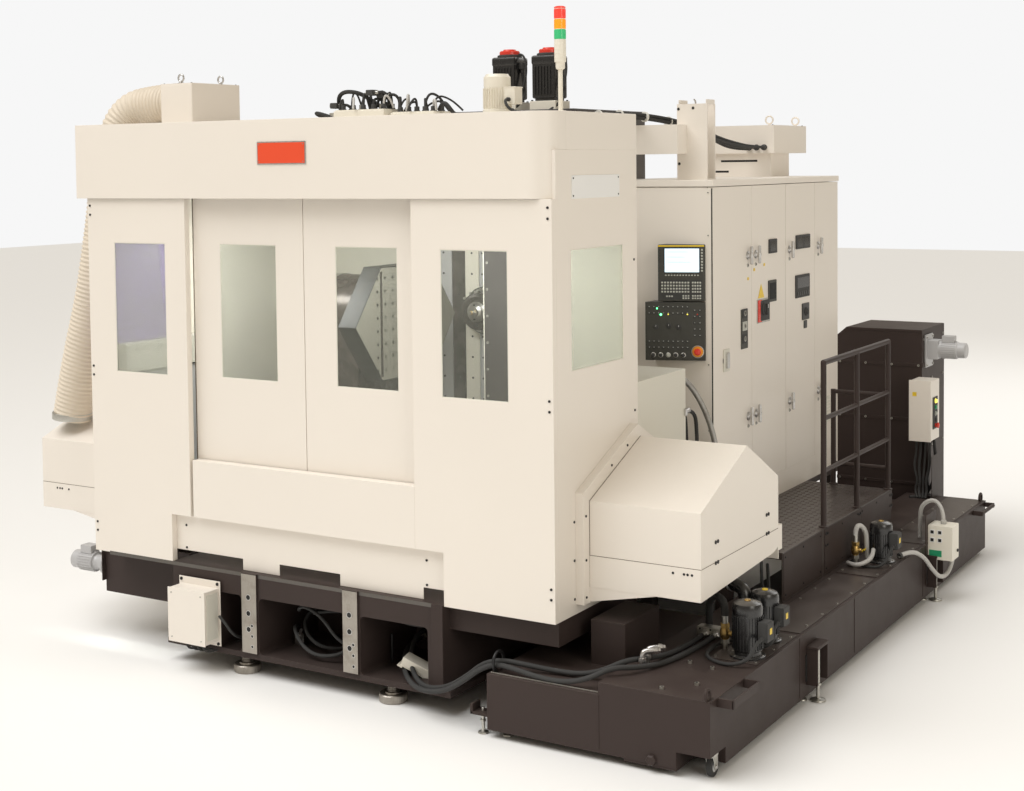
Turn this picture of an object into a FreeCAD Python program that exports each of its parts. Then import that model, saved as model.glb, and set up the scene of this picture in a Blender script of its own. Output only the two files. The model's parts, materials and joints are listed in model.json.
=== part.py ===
"""Horizontal-spindle machining centre with its guard, cabinet, coolant tank and chip conveyor.

Millimetres, +Z up.  The layout is drawn with x = 0 on the right side of the
guard (negative to the left), y = 0 on the guard's front and z = 0 on the
floor.  The last step moves everything so that the origin lies under the
middle of the machine.
"""
import FreeCAD, Part
import math
import os

V = FreeCAD.Vector
X_AXIS, Y_AXIS, Z_AXIS = V(1, 0, 0), V(0, 1, 0), V(0, 0, 1)

# ---------------------------------------------------------------- guard
GUARD_W = 3100.0          # width over the two side panels
GUARD_D = 920.0           # depth of the wide front bay
SHEET = 4.0               # sheet metal thickness
PAN = 40.0                # depth of a folded panel
PANEL_Z0 = 570.0          # lower edge of the panels
FASCIA_Z0 = 2640.0
FASCIA_Z1 = 3065.0
FASCIA_OVER = 20.0        # the fascia stands this far in front of the panels
FASCIA_LEFT = 65.0        # and this far past the left side
FASCIA_D = 150.0
FASCIA_R = 130.0          # rounded right corner
ROOF_Z0 = 2877.0
LEFT_PANEL_W = 752.0
RIGHT_PANEL_W = 820.0
LEFT_FOOT_W = 608.0       # the panels are narrower below the sill
RIGHT_FOOT_W = 648.0
SILL_Z0 = 846.0
SILL_Z1 = 1170.0
WIN_Z0, WIN_Z1 = 1640.0, 2386.0
LEFT = -GUARD_W           # outer face of the left side
LEFT_WIN_X = (LEFT + 208.0, LEFT + 600.0)
RIGHT_WIN_X = (-643.0, -252.0)
SIDE_WIN_Y = (190.0, 753.0)
SIDE_WIN_Z = (1788.0, 2386.0)
GLASS = 6.0
GLASS_LAP = 20.0
SEAT = 0.3                # clearance between pieces that move past each other

# ---------------------------------------------------------------- doors
DOOR_Y = 65.0
DOOR_T = 40.0
DOOR_Z0, DOOR_Z1 = 1130.0, 2655.0
DOOR_MEET_X = -1563.0     # seam between the two doors
DOOR_SEAM = 4.0
DOOR_LAP_L, DOOR_LAP_R = 5.0, 37.0
DOOR_L_X = (LEFT + LEFT_PANEL_W + DOOR_LAP_L, DOOR_MEET_X - DOOR_SEAM / 2)
DOOR_R_X = (DOOR_MEET_X + DOOR_SEAM / 2, DOOR_LAP_R - RIGHT_PANEL_W)
DOOR_WIN_W = 397.0
DOOR_L_WIN = (DOOR_L_X[1] - 585.0, DOOR_L_X[1] - 585.0 + DOOR_WIN_W)
DOOR_R_WIN = (DOOR_R_X[0] + 211.0, DOOR_R_X[0] + 211.0 + DOOR_WIN_W)
TRACK_H = 36.0

# ---------------------------------------------------------------- machine
BED_X = (-2490.0, -650.0)
BED_FLANGE = 52.0
BED_Z0, BED_Z1 = 100.0, 578.0
BED_D = 3350.0
POCKETS_X = ((-2173.0, -1990.0), (-1865.0, -1282.0), (-1178.0, -750.0))
POCKET_D, POCKET_R = 520.0, 24.0
BED_WING_X1 = -15.0
BED_WING_Z0 = 440.0
SPINDLE_X = -1407.0
SPINDLE_Z = 1908.0
SPINDLE_TIP_Y = 1474.0
RAM_R = 150.0
COL_W = 900.0
COL_D = 1000.0
COL_Y0 = 2000.0
COL_Z1 = 3150.0
RAIL_T = 25.0
SADDLE_H = 640.0
SADDLE_T = 270.0
SADDLE_TRAVEL = 350.0
TABLE_X, TABLE_Y = -1800.0, 950.0
PLATE_X1 = -1500.0        # working face of the face plate
PLATE_T = 124.0
PLATE_TIP = 514.0         # centre to the pointed ends
PLATE_FLAT = 325.0        # centre to the flats

# ---------------------------------------------------------------- rear bay and shoulders
BAY_X = (LEFT + 200.0, SPINDLE_X + COL_W / 2 + 7.0)
BAY_Y1 = COL_Y0 - 60.0
SHOULDER_Y1 = 1526.0
SHOULDER_Z1 = 1645.0

# ---------------------------------------------------------------- cabinet
PLAT_Z1 = 659.0           # top of the walkway deck, which the cabinet stands on
PLAT_T = 40.0
CAB_X0 = SPINDLE_X + COL_W / 2 + 57.0
CAB_Y0, CAB_Y1 = 1918.0, 4093.0
CAB_BASE_H = 148.0
CAB_H = 1854.0
CAB_Z0 = PLAT_Z1 + CAB_BASE_H
CAB_Z1 = CAB_Z0 + CAB_H
CAB_LID = 42.0
CAB_SEAMS = (1918.0, 2511.0, 3088.0, 3629.0, 4093.0)
CAB_DOOR_T = 30.0
CAB_GAP = 4.0
HANDLE_Z = (1245.0, 2235.0)
HANDLE_SIDE = 62.0        # handle axis from the door's free edge

# ---------------------------------------------------------------- tank, platform, conveyor
TANK_X0, TANK_X1 = 302.0, 868.0
TANK_Y0, TANK_Y1 = -139.0, 4720.0
TANK_Z0 = 40.0
TANK_Z1 = 380.0
TANK_LEFT_X0 = -313.0
TANK_LEFT_Z1 = 320.0
PLAT_Y = (1526.0, 3475.0)
PLAT_X1 = 574.0
RAIL_R = 17.0
RAIL_TOP = 1630.0
CONV_X = (-234.0, 402.0)
CONV_Y = (4757.0, 5340.0)
CONV_Z1 = 1570.0

NODES = {}


def add(name, *shapes):
    """Store a node made of one or more separate solids."""
    NODES[name] = list(shapes)


def box(x0, x1, y0, y1, z0, z1):
    """Box from its low and high corner values."""
    return Part.makeBox(x1 - x0, y1 - y0, z1 - z0, V(x0, y0, z0))


def cyl(x, y, z, r, h, axis=Z_AXIS):
    """Cylinder that starts at x, y, z and runs h along axis."""
    return Part.makeCylinder(r, h, V(x, y, z), axis)


def fuse(first, *rest):
    """Union of solids as one clean solid."""
    return first.fuse(list(rest)).removeSplitter()


def prism(points, direction):
    """Closed polygon of points extruded by a vector."""
    wire = Part.makePolygon([V(*p) for p in points] + [V(*points[0])])
    return Part.Face(wire).extrude(V(*direction))


def pan(x0, x1, y0, y1, z0, z1, open_side, t=SHEET):
    """Folded sheet tray: a box hollowed from the named side."""
    lo = {"x": x0, "y": y0, "z": z0}
    hi = {"x": x1, "y": y1, "z": z1}
    for k in "xyz":
        lo[k] += t
        hi[k] -= t
    sign, k = open_side
    if sign == "+":
        hi[k] += 2 * t
    else:
        lo[k] -= 2 * t
    outer = box(x0, x1, y0, y1, z0, z1)
    return outer.cut(box(lo["x"], hi["x"], lo["y"], hi["y"], lo["z"], hi["z"]))


def tube(points, radius, factor=0.45, name=None):
    """Solid round bar along straight runs joined by tangent arcs."""
    pts = [V(*p) for p in points]
    edges, start = [], pts[0]
    radii = []
    for a, b, c in zip(pts, pts[1:], pts[2:]):
        u, w = (a - b).normalize(), (c - b).normalize()
        turn = math.pi - u.getAngle(w)
        cut = factor * min((a - b).Length, (c - b).Length)
        bend = cut / math.tan(turn / 2)
        radii.append(bend)
        p, q = b + u * cut, b + w * cut
        mid_dir = (u + w).normalize()
        mid = b + mid_dir * (bend / math.cos(turn / 2) - bend)
        edges.append(Part.LineSegment(start, p).toShape())
        edges.append(Part.Arc(p, mid, q).toShape())
        start = q
    edges.append(Part.LineSegment(start, pts[-1]).toShape())
    path = Part.Wire(edges)
    ring = Part.Wire(Part.makeCircle(radius, pts[0], pts[1] - pts[0]))
    solid = path.makePipeShell([ring], True, False, 2)
    if name:
        ratio = solid.Volume / (math.pi * radius ** 2 * path.Length)
        print(name, "length", round(path.Length), "radii", [round(r) for r in radii], "volume ratio", round(ratio, 4))
    return solid


def pane(x0, x1, y0, z0, z1):
    """Window pane that laps behind its opening in an X-Z panel."""
    return box(x0 - GLASS_LAP, x1 + GLASS_LAP, y0, y0 + GLASS, z0 - GLASS_LAP, z1 + GLASS_LAP)


# ================================================================ machine bed
def machine_bed():
    """Cast bed with front pockets, bright pads, a right wing and a foot flange."""
    x0, x1 = BED_X
    bed = box(x0, x1, 0, BED_D, BED_Z0, BED_Z1)
    flange = box(x0 - BED_FLANGE, x1 + 35, 0, BED_D, BED_Z0, BED_Z0 + 32)
    wing_z1 = PANEL_Z0 - SEAT
    wing = box(x1, BED_WING_X1, 60, GUARD_D, BED_WING_Z0, wing_z1)
    left_wing = box(-GUARD_W + 60, x0, 260, GUARD_D, BED_WING_Z0 + 60, wing_z1)
    solid = fuse(bed, flange, wing, left_wing)
    pocket_z = (BED_Z0 + 32, 446.0)
    for px0, px1 in POCKETS_X:
        pocket = box(px0, px1, -1, POCKET_D, *pocket_z)
        corners = [e for e in pocket.Edges if abs(e.tangentAt(e.FirstParameter).y) > 0.9]
        solid = solid.cut(pocket.makeFillet(POCKET_R, corners))
    for px0, px1 in ((-1978.0, -1872.0), (-1284.0, -1186.0), (-720.0, -650.0)):
        solid = solid.fuse(box(px0, px1, -12, 0, BED_Z0 + 32, BED_Z1))
    return solid.removeSplitter()


FEET_XY = [(-2017.0, 75.0), (-1023.0, 75.0), (-2300.0, 1650.0), (-840.0, 1650.0), (-2017.0, 3200.0), (-1023.0, 3200.0)]
FOOT_R, FOOT_H, STEM_R = 75.0, 45.0, 28.0
TANK_FEET_XY = [(-240.0, -60.0), (825.0, 1145.0), (825.0, 3322.0), (345.0, 2200.0), (345.0, 4400.0), (-240.0, 900.0)]
TANK_FOOT_R, TANK_FOOT_H, TANK_STEM_R = 28.0, 12.0, 9.0


def feet():
    """Levelling pads under the bed and small levelling feet under the tank."""
    out = []
    for x, y in FEET_XY:
        out.append(fuse(cyl(x, y, 0, FOOT_R, FOOT_H), cyl(x, y, FOOT_H, STEM_R, BED_Z0 - FOOT_H)))
    for x, y in TANK_FEET_XY:
        out.append(fuse(cyl(x, y, 0, TANK_FOOT_R, TANK_FOOT_H), cyl(x, y, TANK_FOOT_H, TANK_STEM_R, TANK_Z0 - TANK_FOOT_H)))
    return out


# ================================================================ column, saddle, ram, spindle
def column():
    """Portal column whose slot lets the ram travel up and down."""
    x0 = SPINDLE_X - COL_W / 2
    body = box(x0, x0 + COL_W, COL_Y0, COL_Y0 + COL_D, BED_Z1, COL_Z1)
    half = RAM_R + 30
    low = SPINDLE_Z - SADDLE_TRAVEL - half
    high = SPINDLE_Z + SADDLE_TRAVEL + half
    slot = box(SPINDLE_X - half, SPINDLE_X + half, COL_Y0 - 1, COL_Y0 + COL_D + 1, low, high)
    return body.cut(slot)


RAIL_W = 70.0
RAIL_INSET = 60.0
X_RAIL_Z1 = BED_Z1 + 42
X_RAIL_Y = (TABLE_Y - 330.0, TABLE_Y + 330.0)


def guide_rails():
    """Vertical rails on the column, cross rails on the bed and the two door tracks."""
    z0 = SPINDLE_Z - SADDLE_TRAVEL - SADDLE_H / 2 - 30
    z1 = SPINDLE_Z + SADDLE_TRAVEL + SADDLE_H / 2 + 30
    out = []
    for side in (-1, 1):
        x = SPINDLE_X + side * (COL_W / 2 - RAIL_INSET)
        out.append(box(x - RAIL_W / 2, x + RAIL_W / 2, COL_Y0 - RAIL_T, COL_Y0, z0, z1))
    for y in X_RAIL_Y:
        out.append(box(BED_X[0] + 10, -1000, y - 30, y + 30, BED_Z1, X_RAIL_Z1))
    a, b = -GUARD_W + SHEET, -SHEET
    y0, y1 = DOOR_Y - 5, DOOR_Y + DOOR_T + 5
    out.append(box(a, b, y0, y1, DOOR_Z1 + SEAT, DOOR_Z1 + SEAT + TRACK_H))
    out.append(box(a, b, y0, y1, DOOR_Z0 - SEAT - TRACK_H, DOOR_Z0 - SEAT))
    return out


def spindle_saddle():
    """Plate that climbs the column rails and carries the ram."""
    y1 = COL_Y0 - RAIL_T - SEAT
    w = COL_W - 60
    body = box(SPINDLE_X - w / 2, SPINDLE_X + w / 2, y1 - SADDLE_T, y1, SPINDLE_Z - SADDLE_H / 2, SPINDLE_Z + SADDLE_H / 2)
    return body.cut(cyl(SPINDLE_X, y1 - SADDLE_T - 1, SPINDLE_Z, RAM_R + SEAT, SADDLE_T + 2, Y_AXIS))


NOSE_R, NOSE_L = 112.0, 96.0
SPINDLE_BORE = 62.0
HEAD_Y0 = SPINDLE_TIP_Y + 90


def spindle_head():
    """Round ram with a stepped nose, bored for the spindle."""
    ram = cyl(SPINDLE_X, HEAD_Y0 + NOSE_L, SPINDLE_Z, RAM_R, 1300, Y_AXIS)
    nose = Part.makeCone(NOSE_R, RAM_R - 6, NOSE_L, V(SPINDLE_X, HEAD_Y0, SPINDLE_Z), Y_AXIS)
    bore = cyl(SPINDLE_X, HEAD_Y0 - 1, SPINDLE_Z, SPINDLE_BORE, 421, Y_AXIS)
    return fuse(ram, nose).cut(bore)


def spindle():
    """Spindle shaft with its tool holder and tool as one turning set."""
    shaft = cyl(SPINDLE_X, HEAD_Y0 - 18, SPINDLE_Z, SPINDLE_BORE - SEAT, 430, Y_AXIS)
    holder = Part.makeCone(34, 50, 40, V(SPINDLE_X, HEAD_Y0 - 58, SPINDLE_Z), Y_AXIS)
    tool = cyl(SPINDLE_X, SPINDLE_TIP_Y, SPINDLE_Z, 12, HEAD_Y0 - 58 - SPINDLE_TIP_Y, Y_AXIS)
    return fuse(shaft, holder, tool)


# ================================================================ table group
CROSS_T = 230.0
SWIVEL_Z0 = X_RAIL_Z1 + SEAT + CROSS_T + SEAT
HOUSING_X0 = -280.0
PLATE_GAP = 6.0
SPIGOT_R = 140.0


def table_saddle():
    """Cross slide on the bed rails."""
    z0 = X_RAIL_Z1 + SEAT
    return box(TABLE_X - 350, TABLE_X + 350, TABLE_Y - 420, TABLE_Y + 420, z0, z0 + CROSS_T)


def table_swivel():
    """Swivelling base with the upright housing of the face-plate bearing."""
    back = PLATE_X1 - PLATE_T - PLATE_GAP
    base = cyl(TABLE_X, TABLE_Y, SWIVEL_Z0, 330, 130)
    top = SPINDLE_Z + 250
    upright = box(TABLE_X + HOUSING_X0, back - 40, TABLE_Y - 260, TABLE_Y + 260, SWIVEL_Z0 + 130, SPINDLE_Z)
    drum = cyl(TABLE_X + HOUSING_X0, TABLE_Y, SPINDLE_Z, 260, back - 40 - TABLE_X - HOUSING_X0, X_AXIS)
    ring = cyl(back - 40, TABLE_Y, SPINDLE_Z, 240, 40, X_AXIS)
    bore = cyl(back - 260, TABLE_Y, SPINDLE_Z, SPIGOT_R + SEAT, 261, X_AXIS)
    return fuse(base, upright, drum, ring).cut(bore)


def rotary_table():
    """Six-sided face plate on its spigot."""
    x0 = PLATE_X1 - PLATE_T
    cy, cz = TABLE_Y, SPINDLE_Z
    slope = PLATE_FLAT * 0.78
    outline = [(x0, cy - PLATE_TIP, cz), (x0, cy - PLATE_TIP + slope, cz + PLATE_FLAT),
               (x0, cy + PLATE_TIP - slope, cz + PLATE_FLAT), (x0, cy + PLATE_TIP, cz),
               (x0, cy + PLATE_TIP - slope, cz - PLATE_FLAT), (x0, cy - PLATE_TIP + slope, cz - PLATE_FLAT)]
    plate = prism(outline, (PLATE_T, 0, 0))
    spigot = cyl(x0 - PLATE_GAP - 240, cy, cz, SPIGOT_R, PLATE_GAP + 240, X_AXIS)
    return fuse(plate, spigot)


# ================================================================ guard panels
def l_panel(x_out, x_in, x_foot):
    """Front panel: wide above the sill, narrower below it, with folded edges."""
    def block(grow, y0, y1, top):
        a, b = sorted((x_out, x_in))
        c, d = sorted((x_out, x_foot))
        upper = box(a - grow, b + grow, y0, y1, SILL_Z0 - grow, top + grow)
        lower = box(c - grow, d + grow, y0, y1, PANEL_Z0 - grow, SILL_Z0 + 1)
        return fuse(upper, lower)
    outer = block(0, 0, PAN, FASCIA_Z0 - SEAT)
    a, b = sorted((x_out, x_in))
    c, d = sorted((x_out, x_foot))
    inner = fuse(box(a + SHEET, b - SHEET, SHEET, PAN + 1, SILL_Z0 + SHEET, FASCIA_Z0 - SEAT - SHEET),
                 box(c + SHEET, d - SHEET, SHEET, PAN + 1, PANEL_Z0 + SHEET, SILL_Z0 + SHEET + 1))
    return outer.cut(inner)


def front_panels():
    """Left and right fixed front panels with their window openings."""
    left = l_panel(-GUARD_W, -GUARD_W + LEFT_PANEL_W, -GUARD_W + LEFT_FOOT_W)
    left = left.cut(box(LEFT_WIN_X[0], LEFT_WIN_X[1], -1, PAN, WIN_Z0, WIN_Z1))
    right = l_panel(0, -RIGHT_PANEL_W, -RIGHT_FOOT_W)
    right = right.cut(box(RIGHT_WIN_X[0], RIGHT_WIN_X[1], -1, PAN, WIN_Z0, WIN_Z1))
    return left, right


def side_panels():
    """Side panels of the front bay, each with a window opening."""
    opening = box(-GUARD_W - 1, 1, SIDE_WIN_Y[0], SIDE_WIN_Y[1], *SIDE_WIN_Z)
    right = pan(-PAN, 0, PAN, GUARD_D, PANEL_Z0, ROOF_Z0, "-x").cut(opening)
    left = pan(-GUARD_W, -GUARD_W + PAN, PAN, GUARD_D, PANEL_Z0, ROOF_Z0, "+x").cut(opening)
    return left, right


def fixed_windows():
    """Panes of the front panels and of both side panels."""
    y = SHEET
    out = [pane(*LEFT_WIN_X, y, WIN_Z0, WIN_Z1), pane(*RIGHT_WIN_X, y, WIN_Z0, WIN_Z1)]
    for x in (-SHEET - GLASS, -GUARD_W + SHEET):
        out.append(box(x, x + GLASS, SIDE_WIN_Y[0] - GLASS_LAP, SIDE_WIN_Y[1] + GLASS_LAP,
                       SIDE_WIN_Z[0] - GLASS_LAP, SIDE_WIN_Z[1] + GLASS_LAP))
    return out


def fascia():
    """Hollow front fascia with a rounded right corner, open below and behind."""
    def outline(d, z0, z1):
        xl, xr = -GUARD_W - FASCIA_LEFT + d, -d
        yf, yb = -FASCIA_OVER + d, FASCIA_D + (0 if d == 0 else 1)
        r = FASCIA_R - d
        k = r * (1 - math.sqrt(0.5))
        edges = [Part.LineSegment(V(xl, yb, z0), V(xl, yf, z0)).toShape(),
                 Part.LineSegment(V(xl, yf, z0), V(xr - r, yf, z0)).toShape(),
                 Part.Arc(V(xr - r, yf, z0), V(xr - k, yf + k, z0), V(xr, yf + r, z0)).toShape(),
                 Part.LineSegment(V(xr, yf + r, z0), V(xr, yb, z0)).toShape(),
                 Part.LineSegment(V(xr, yb, z0), V(xl, yb, z0)).toShape()]
        return Part.Face(Part.Wire(edges)).extrude(V(0, 0, z1 - z0))
    shell = outline(0, FASCIA_Z0, FASCIA_Z1)
    core = outline(SHEET, FASCIA_Z0 - 1, FASCIA_Z1 - SHEET)
    # The side wings stop at the side panels, which rise behind the corner.
    shell = shell.cut(core)
    notch = box(-PAN - SEAT, 1, PAN - SEAT, FASCIA_D + 1, FASCIA_Z0 - 1, ROOF_Z0)
    return shell.cut(notch)


def roof_cover():
    """Roof tray of the front bay with the lid of the rear bay."""
    front = pan(-GUARD_W, 0, FASCIA_D, GUARD_D, ROOF_Z0, FASCIA_Z1, "-z")
    lid = box(BAY_X[0], BAY_X[1], GUARD_D, BAY_Y1, ROOF_Z0, ROOF_Z0 + SHEET)
    return front, lid


def rear_guard():
    """Back walls of the front bay, walls of the rear bay and the low shoulder boxes."""
    t = SHEET
    a, b = BAY_X
    y0 = GUARD_D - t
    z0 = PANEL_Z0 + 10
    z1 = ROOF_Z0 - SHEET - SEAT
    left_wall = box(-GUARD_W + t, a + t, y0 - 10, y0, z0, z1)
    right_wall = box(b - t, -t, y0 - 10, y0, z0, z1)
    bay_left = box(a, a + t, y0 - 10, BAY_Y1, z0, ROOF_Z0)
    bay_right = box(b - t, b, y0 - 10, BAY_Y1, z0, ROOF_Z0)
    back = box(a, SPINDLE_X - COL_W / 2 - 20, BAY_Y1 - t, BAY_Y1, z0, ROOF_Z0)
    shoulder_r = pan(b - t, 0, GUARD_D + 1, SHOULDER_Y1, z0, SHOULDER_Z1, "-x")
    shoulder_l = pan(-GUARD_W, a + t, GUARD_D + 1, SHOULDER_Y1, z0, SHOULDER_Z1, "+x")
    return [fuse(left_wall, bay_left, back, shoulder_l), fuse(right_wall, bay_right, shoulder_r)]


def sliding_door(span, window):
    """Sliding door tray with its pane seated behind the skin."""
    x0, x1 = span
    frame = pan(x0, x1, DOOR_Y, DOOR_Y + DOOR_T, DOOR_Z0, DOOR_Z1, "+y")
    frame = frame.cut(box(window[0], window[1], DOOR_Y - 1, DOOR_Y + DOOR_T, WIN_Z0, WIN_Z1))
    return frame, pane(window[0], window[1], DOOR_Y + SHEET, WIN_Z0, WIN_Z1)


def sill_cover():
    """Folded sill cover in front of the doors."""
    return pan(LEFT + LEFT_PANEL_W + 21, -RIGHT_PANEL_W, 0, DOOR_Y - 6, SILL_Z0, SILL_Z1, "+y")


def trim_panel():
    """Recessed trim plate under the sill with two tabs that stand on the bed."""
    plate = box(LEFT + LEFT_FOOT_W - 68, 88 - RIGHT_FOOT_W, PAN, PAN + SHEET, 640, SILL_Z0 - SEAT)
    tabs = [box(a, b, PAN, PAN + SHEET, BED_Z1, 641) for a, b in ((-2006, -1747), (-1334, -799))]
    return fuse(plate, *tabs)


# ================================================================ hoods, trough, duct, collector
HOOD_W = 646.0
HOOD_L_W = 728.0
HOOD_PROFILE = [(273, 1132), (851, 1369), (1280, 1140), (1280, 760), (1205, 740), (273, 700)]
FLANGE_T = 45.0
FLANGE_W = 63.0


def hood(side_x, width, sign):
    """Chip hood that stands out of a side panel: ridge roof, flange and skirt."""
    outer = [(side_x + sign * FLANGE_T, y, z) for y, z in HOOD_PROFILE]
    body = prism(outer, (sign * (width - FLANGE_T), 0, 0))
    flange_pts = [(side_x, HOOD_PROFILE[0][0] - FLANGE_W, 620), (side_x, HOOD_PROFILE[0][0] - FLANGE_W, 1180),
                  (side_x, 825, 1438), (side_x, 1340, 1170), (side_x, 1340, 620)]
    flange = prism(flange_pts, (sign * FLANGE_T, 0, 0))
    skirt_pts = [(side_x + sign * FLANGE_T, 273, 701), (side_x + sign * FLANGE_T, 273, 625), (side_x + sign * width, 273, 747)]
    skirt_pts.append((side_x + sign * width, 273, 760))
    skirt = prism(skirt_pts, (0, 14, 0))
    return fuse(body, flange, skirt)


TROUGH_X0 = LEFT - 119.0
DUCT_R = 125.0
MIST = (LEFT + 173.0, LEFT + 421.0, 450.0, 879.0, 3314.0)


def chip_trough():
    """Left chip trough beside the bed."""
    return pan(TROUGH_X0, BED_X[0] - BED_FLANGE - 1, 193, 259, 262, PANEL_Z0 - SEAT, "+z", 8.0)


def gear_motor(x, y, z, sign):
    """Gear motor: motor barrel, gear head and flange along X."""
    head = box(min(x, x + sign * 90), max(x, x + sign * 90), y - 60, y + 60, z - 70, z + 70)
    barrel = cyl(x + sign * 90, y, z, 62, 150, V(sign, 0, 0))
    cap = cyl(x + sign * 240, y, z, 56, 42, V(sign, 0, 0))
    term = box(min(x + sign * 110, x + sign * 200), max(x + sign * 110, x + sign * 200), y - 34, y + 34, z + 55, z + 105)
    return fuse(head, barrel, cap, term)


def lifting_eye(x, y, z, r=26.0):
    """Ring eye that stands on a lid."""
    ring = Part.makeTorus(r, 6, V(x, y, z + r + 10), Y_AXIS)
    shank = cyl(x, y, z, 9, 12)
    return fuse(ring, shank)


def mist_collector():
    """Mist collector box on the roof with two lifting eyes."""
    x0, x1, y0, y1, z1 = MIST
    body = box(x0, x1, y0, y1, FASCIA_Z1, z1)
    return fuse(body, lifting_eye(x0 + 110, y0 + 60, z1), lifting_eye(x0 + 150, y1 - 60, z1))


DUCT_ROUTE = [(MIST[0] - SEAT, 620, 3205), (LEFT + 10, 620, 3205), (LEFT - 230, 560, 3160), (LEFT - 300, 500, 2850),
              (LEFT - 330, 460, 2450), (LEFT - 400, 430, 2000), (LEFT - 510, 405, 1600), (LEFT - 590, 400, 1250)]


def exhaust_duct(hood_solid):
    """Flexible exhaust duct from the collector down to the left hood."""
    duct = tube(DUCT_ROUTE, DUCT_R, name="exhaust_duct")
    return duct.cut(hood_solid)


def service_boxes():
    """Junction box on the bed and flow-meter box on the tank's side."""
    y = -13
    plate = box(-2430, -2080, y - 4, y, 150, 500)
    body = box(-2405, -2140, y - 130, y - 4, 172, 470)
    flow_plate = box(TANK_X1, TANK_X1 + 4, 3230, 3460, 120, 560)
    flow_body = box(TANK_X1 + 4, 1028, 3273, 3420, 279, 497)
    stud = box(-2430, -2080, y, 0, 300, 340)
    return [fuse(plate, body, stud), fuse(flow_plate, flow_body)]


# ================================================================ roof items
SERVO_XY = [(-1554.0, 2237.0), (-1260.0, 2237.0)]
SERVO_W = 139.0


def roof_drives():
    """Two vertical servo motors on the column and the coolant fan motor with its valve boxes."""
    out = []
    for x, y in SERVO_XY:
        h = SERVO_W / 2
        mount = box(x - 95, x + 95, y - 95, y + 95, COL_Z1, COL_Z1 + 60)
        motor = box(x - h, x + h, y - h, y + h, COL_Z1 + 60, COL_Z1 + 330)
        cap = cyl(x, y, COL_Z1 + 330, h - 6, 56)
        out.append(fuse(mount, motor, cap))
    fan = fuse(cyl(-660, 600, FASCIA_Z1, 78, 40), cyl(-660, 600, FASCIA_Z1 + 40, 69, 160), cyl(-660, 600, FASCIA_Z1 + 200, 60, 22),
               box(-600, -528, 560, 640, FASCIA_Z1 + 60, FASCIA_Z1 + 150))
    out.append(fan)
    out.append(box(-1676, -1330, 500, 760, FASCIA_Z1, FASCIA_Z1 + 112))
    out.append(box(-1300, -1013, 520, 740, FASCIA_Z1, FASCIA_Z1 + 92))
    return out


TOWER = (-210.0, 480.0)


def signal_tower():
    """Signal tower: foot, pole, body and three stacked lenses as separate rings."""
    x, y = TOWER
    z = FASCIA_Z1
    pole = fuse(cyl(x, y, z, 32, 14), cyl(x, y, z + 14, 13, 212), cyl(x, y, z + 226, 24, 34), cyl(x, y, z + 260, 30, 116))
    out = [pole]
    z += 376
    for height in (52.0, 52.0, 52.0):
        out.append(cyl(x, y, z, 30, height))
        z += height
    out.append(cyl(x, y, z, 30, 12))
    return out


def rear_frame():
    """Beam from the rear bay, channel post on the cabinet and the transformer box."""
    beam = box(BAY_X[1], -224, BAY_Y1 - 20, BAY_Y1 + 110, 2859, 3032)
    post = box(-285, -90, BAY_Y1 + 110, BAY_Y1 + 230, CAB_Z1 + CAB_LID, 3155)
    post = post.cut(box(-240, -100 + 11, BAY_Y1 + 118, BAY_Y1 + 222, CAB_Z1 + CAB_LID + 8, 3156))
    box_low = box(-800, -330, 3680, 4020, CAB_Z1 + CAB_LID, 2865)
    box_top = box(-859, -294, 3642, 4267, 2865, 3057)
    eyes = [lifting_eye(x, y, 3057) for x, y in ((-800, 3700), (-350, 3700), (-350, 4200))]
    return [fuse(beam, post), fuse(box_low, box_top, *eyes)]


# ================================================================ cabinet
def cabinet_shell():
    """Cabinet shell open on the door side, with a lid and a mounting plate."""
    shell = pan(CAB_X0, -CAB_DOOR_T - CAB_GAP, CAB_Y0, CAB_Y1, CAB_Z0, CAB_Z1, "+x")
    lid = box(CAB_X0 - 6, 6, CAB_Y0 - 6, CAB_Y1 + 6, CAB_Z1 + CAB_GAP, CAB_Z1 + CAB_LID)
    neck = box(CAB_X0 + 20, -60, CAB_Y0 + 20, CAB_Y1 - 20, CAB_Z1 - 1, CAB_Z1 + CAB_GAP)
    plate = box(CAB_X0 + 60, CAB_X0 + 64, CAB_Y0 + SHEET, CAB_Y1 - SHEET, CAB_Z0 + 60, CAB_Z1 - 60)
    return fuse(shell, neck, lid, plate)


def over_bed():
    """Room that the bed takes, which the walkway and the plinth stay clear of."""
    return box(BED_X[0], BED_X[1] + SEAT, 0, BED_D + SEAT, BED_Z0, BED_Z1 + SEAT)


def cabinet_plinth():
    """Base frame under the cabinet."""
    frame = box(CAB_X0, 0, CAB_Y0, CAB_Y1, PLAT_Z1, CAB_Z0 - SEAT).cut(over_bed())
    return frame.cut(box(CAB_X0 + 60, -60, CAB_Y0 + 60, CAB_Y1 - 60, PLAT_Z1 - 1, CAB_Z0))


def door_span(i):
    """Low and high y of cabinet door i."""
    return CAB_SEAMS[i] + CAB_GAP / 2, CAB_SEAMS[i + 1] - CAB_GAP / 2


def handle_y(i):
    """Y of the handles: the rear edge on the first door, the front edge on the others."""
    y0, y1 = door_span(i)
    return y1 - HANDLE_SIDE if i == 0 else y0 + HANDLE_SIDE


HANDLE_R = 15.0


def cabinet_door(i):
    """Door tray with bores for its two handles."""
    y0, y1 = door_span(i)
    door = pan(-CAB_DOOR_T, 0, y0, y1, CAB_Z0, CAB_Z1, "-x")
    for z in HANDLE_Z:
        door = door.cut(cyl(-CAB_DOOR_T - 1, handle_y(i), z, HANDLE_R + SEAT, CAB_DOOR_T + 2, X_AXIS))
    return door


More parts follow.
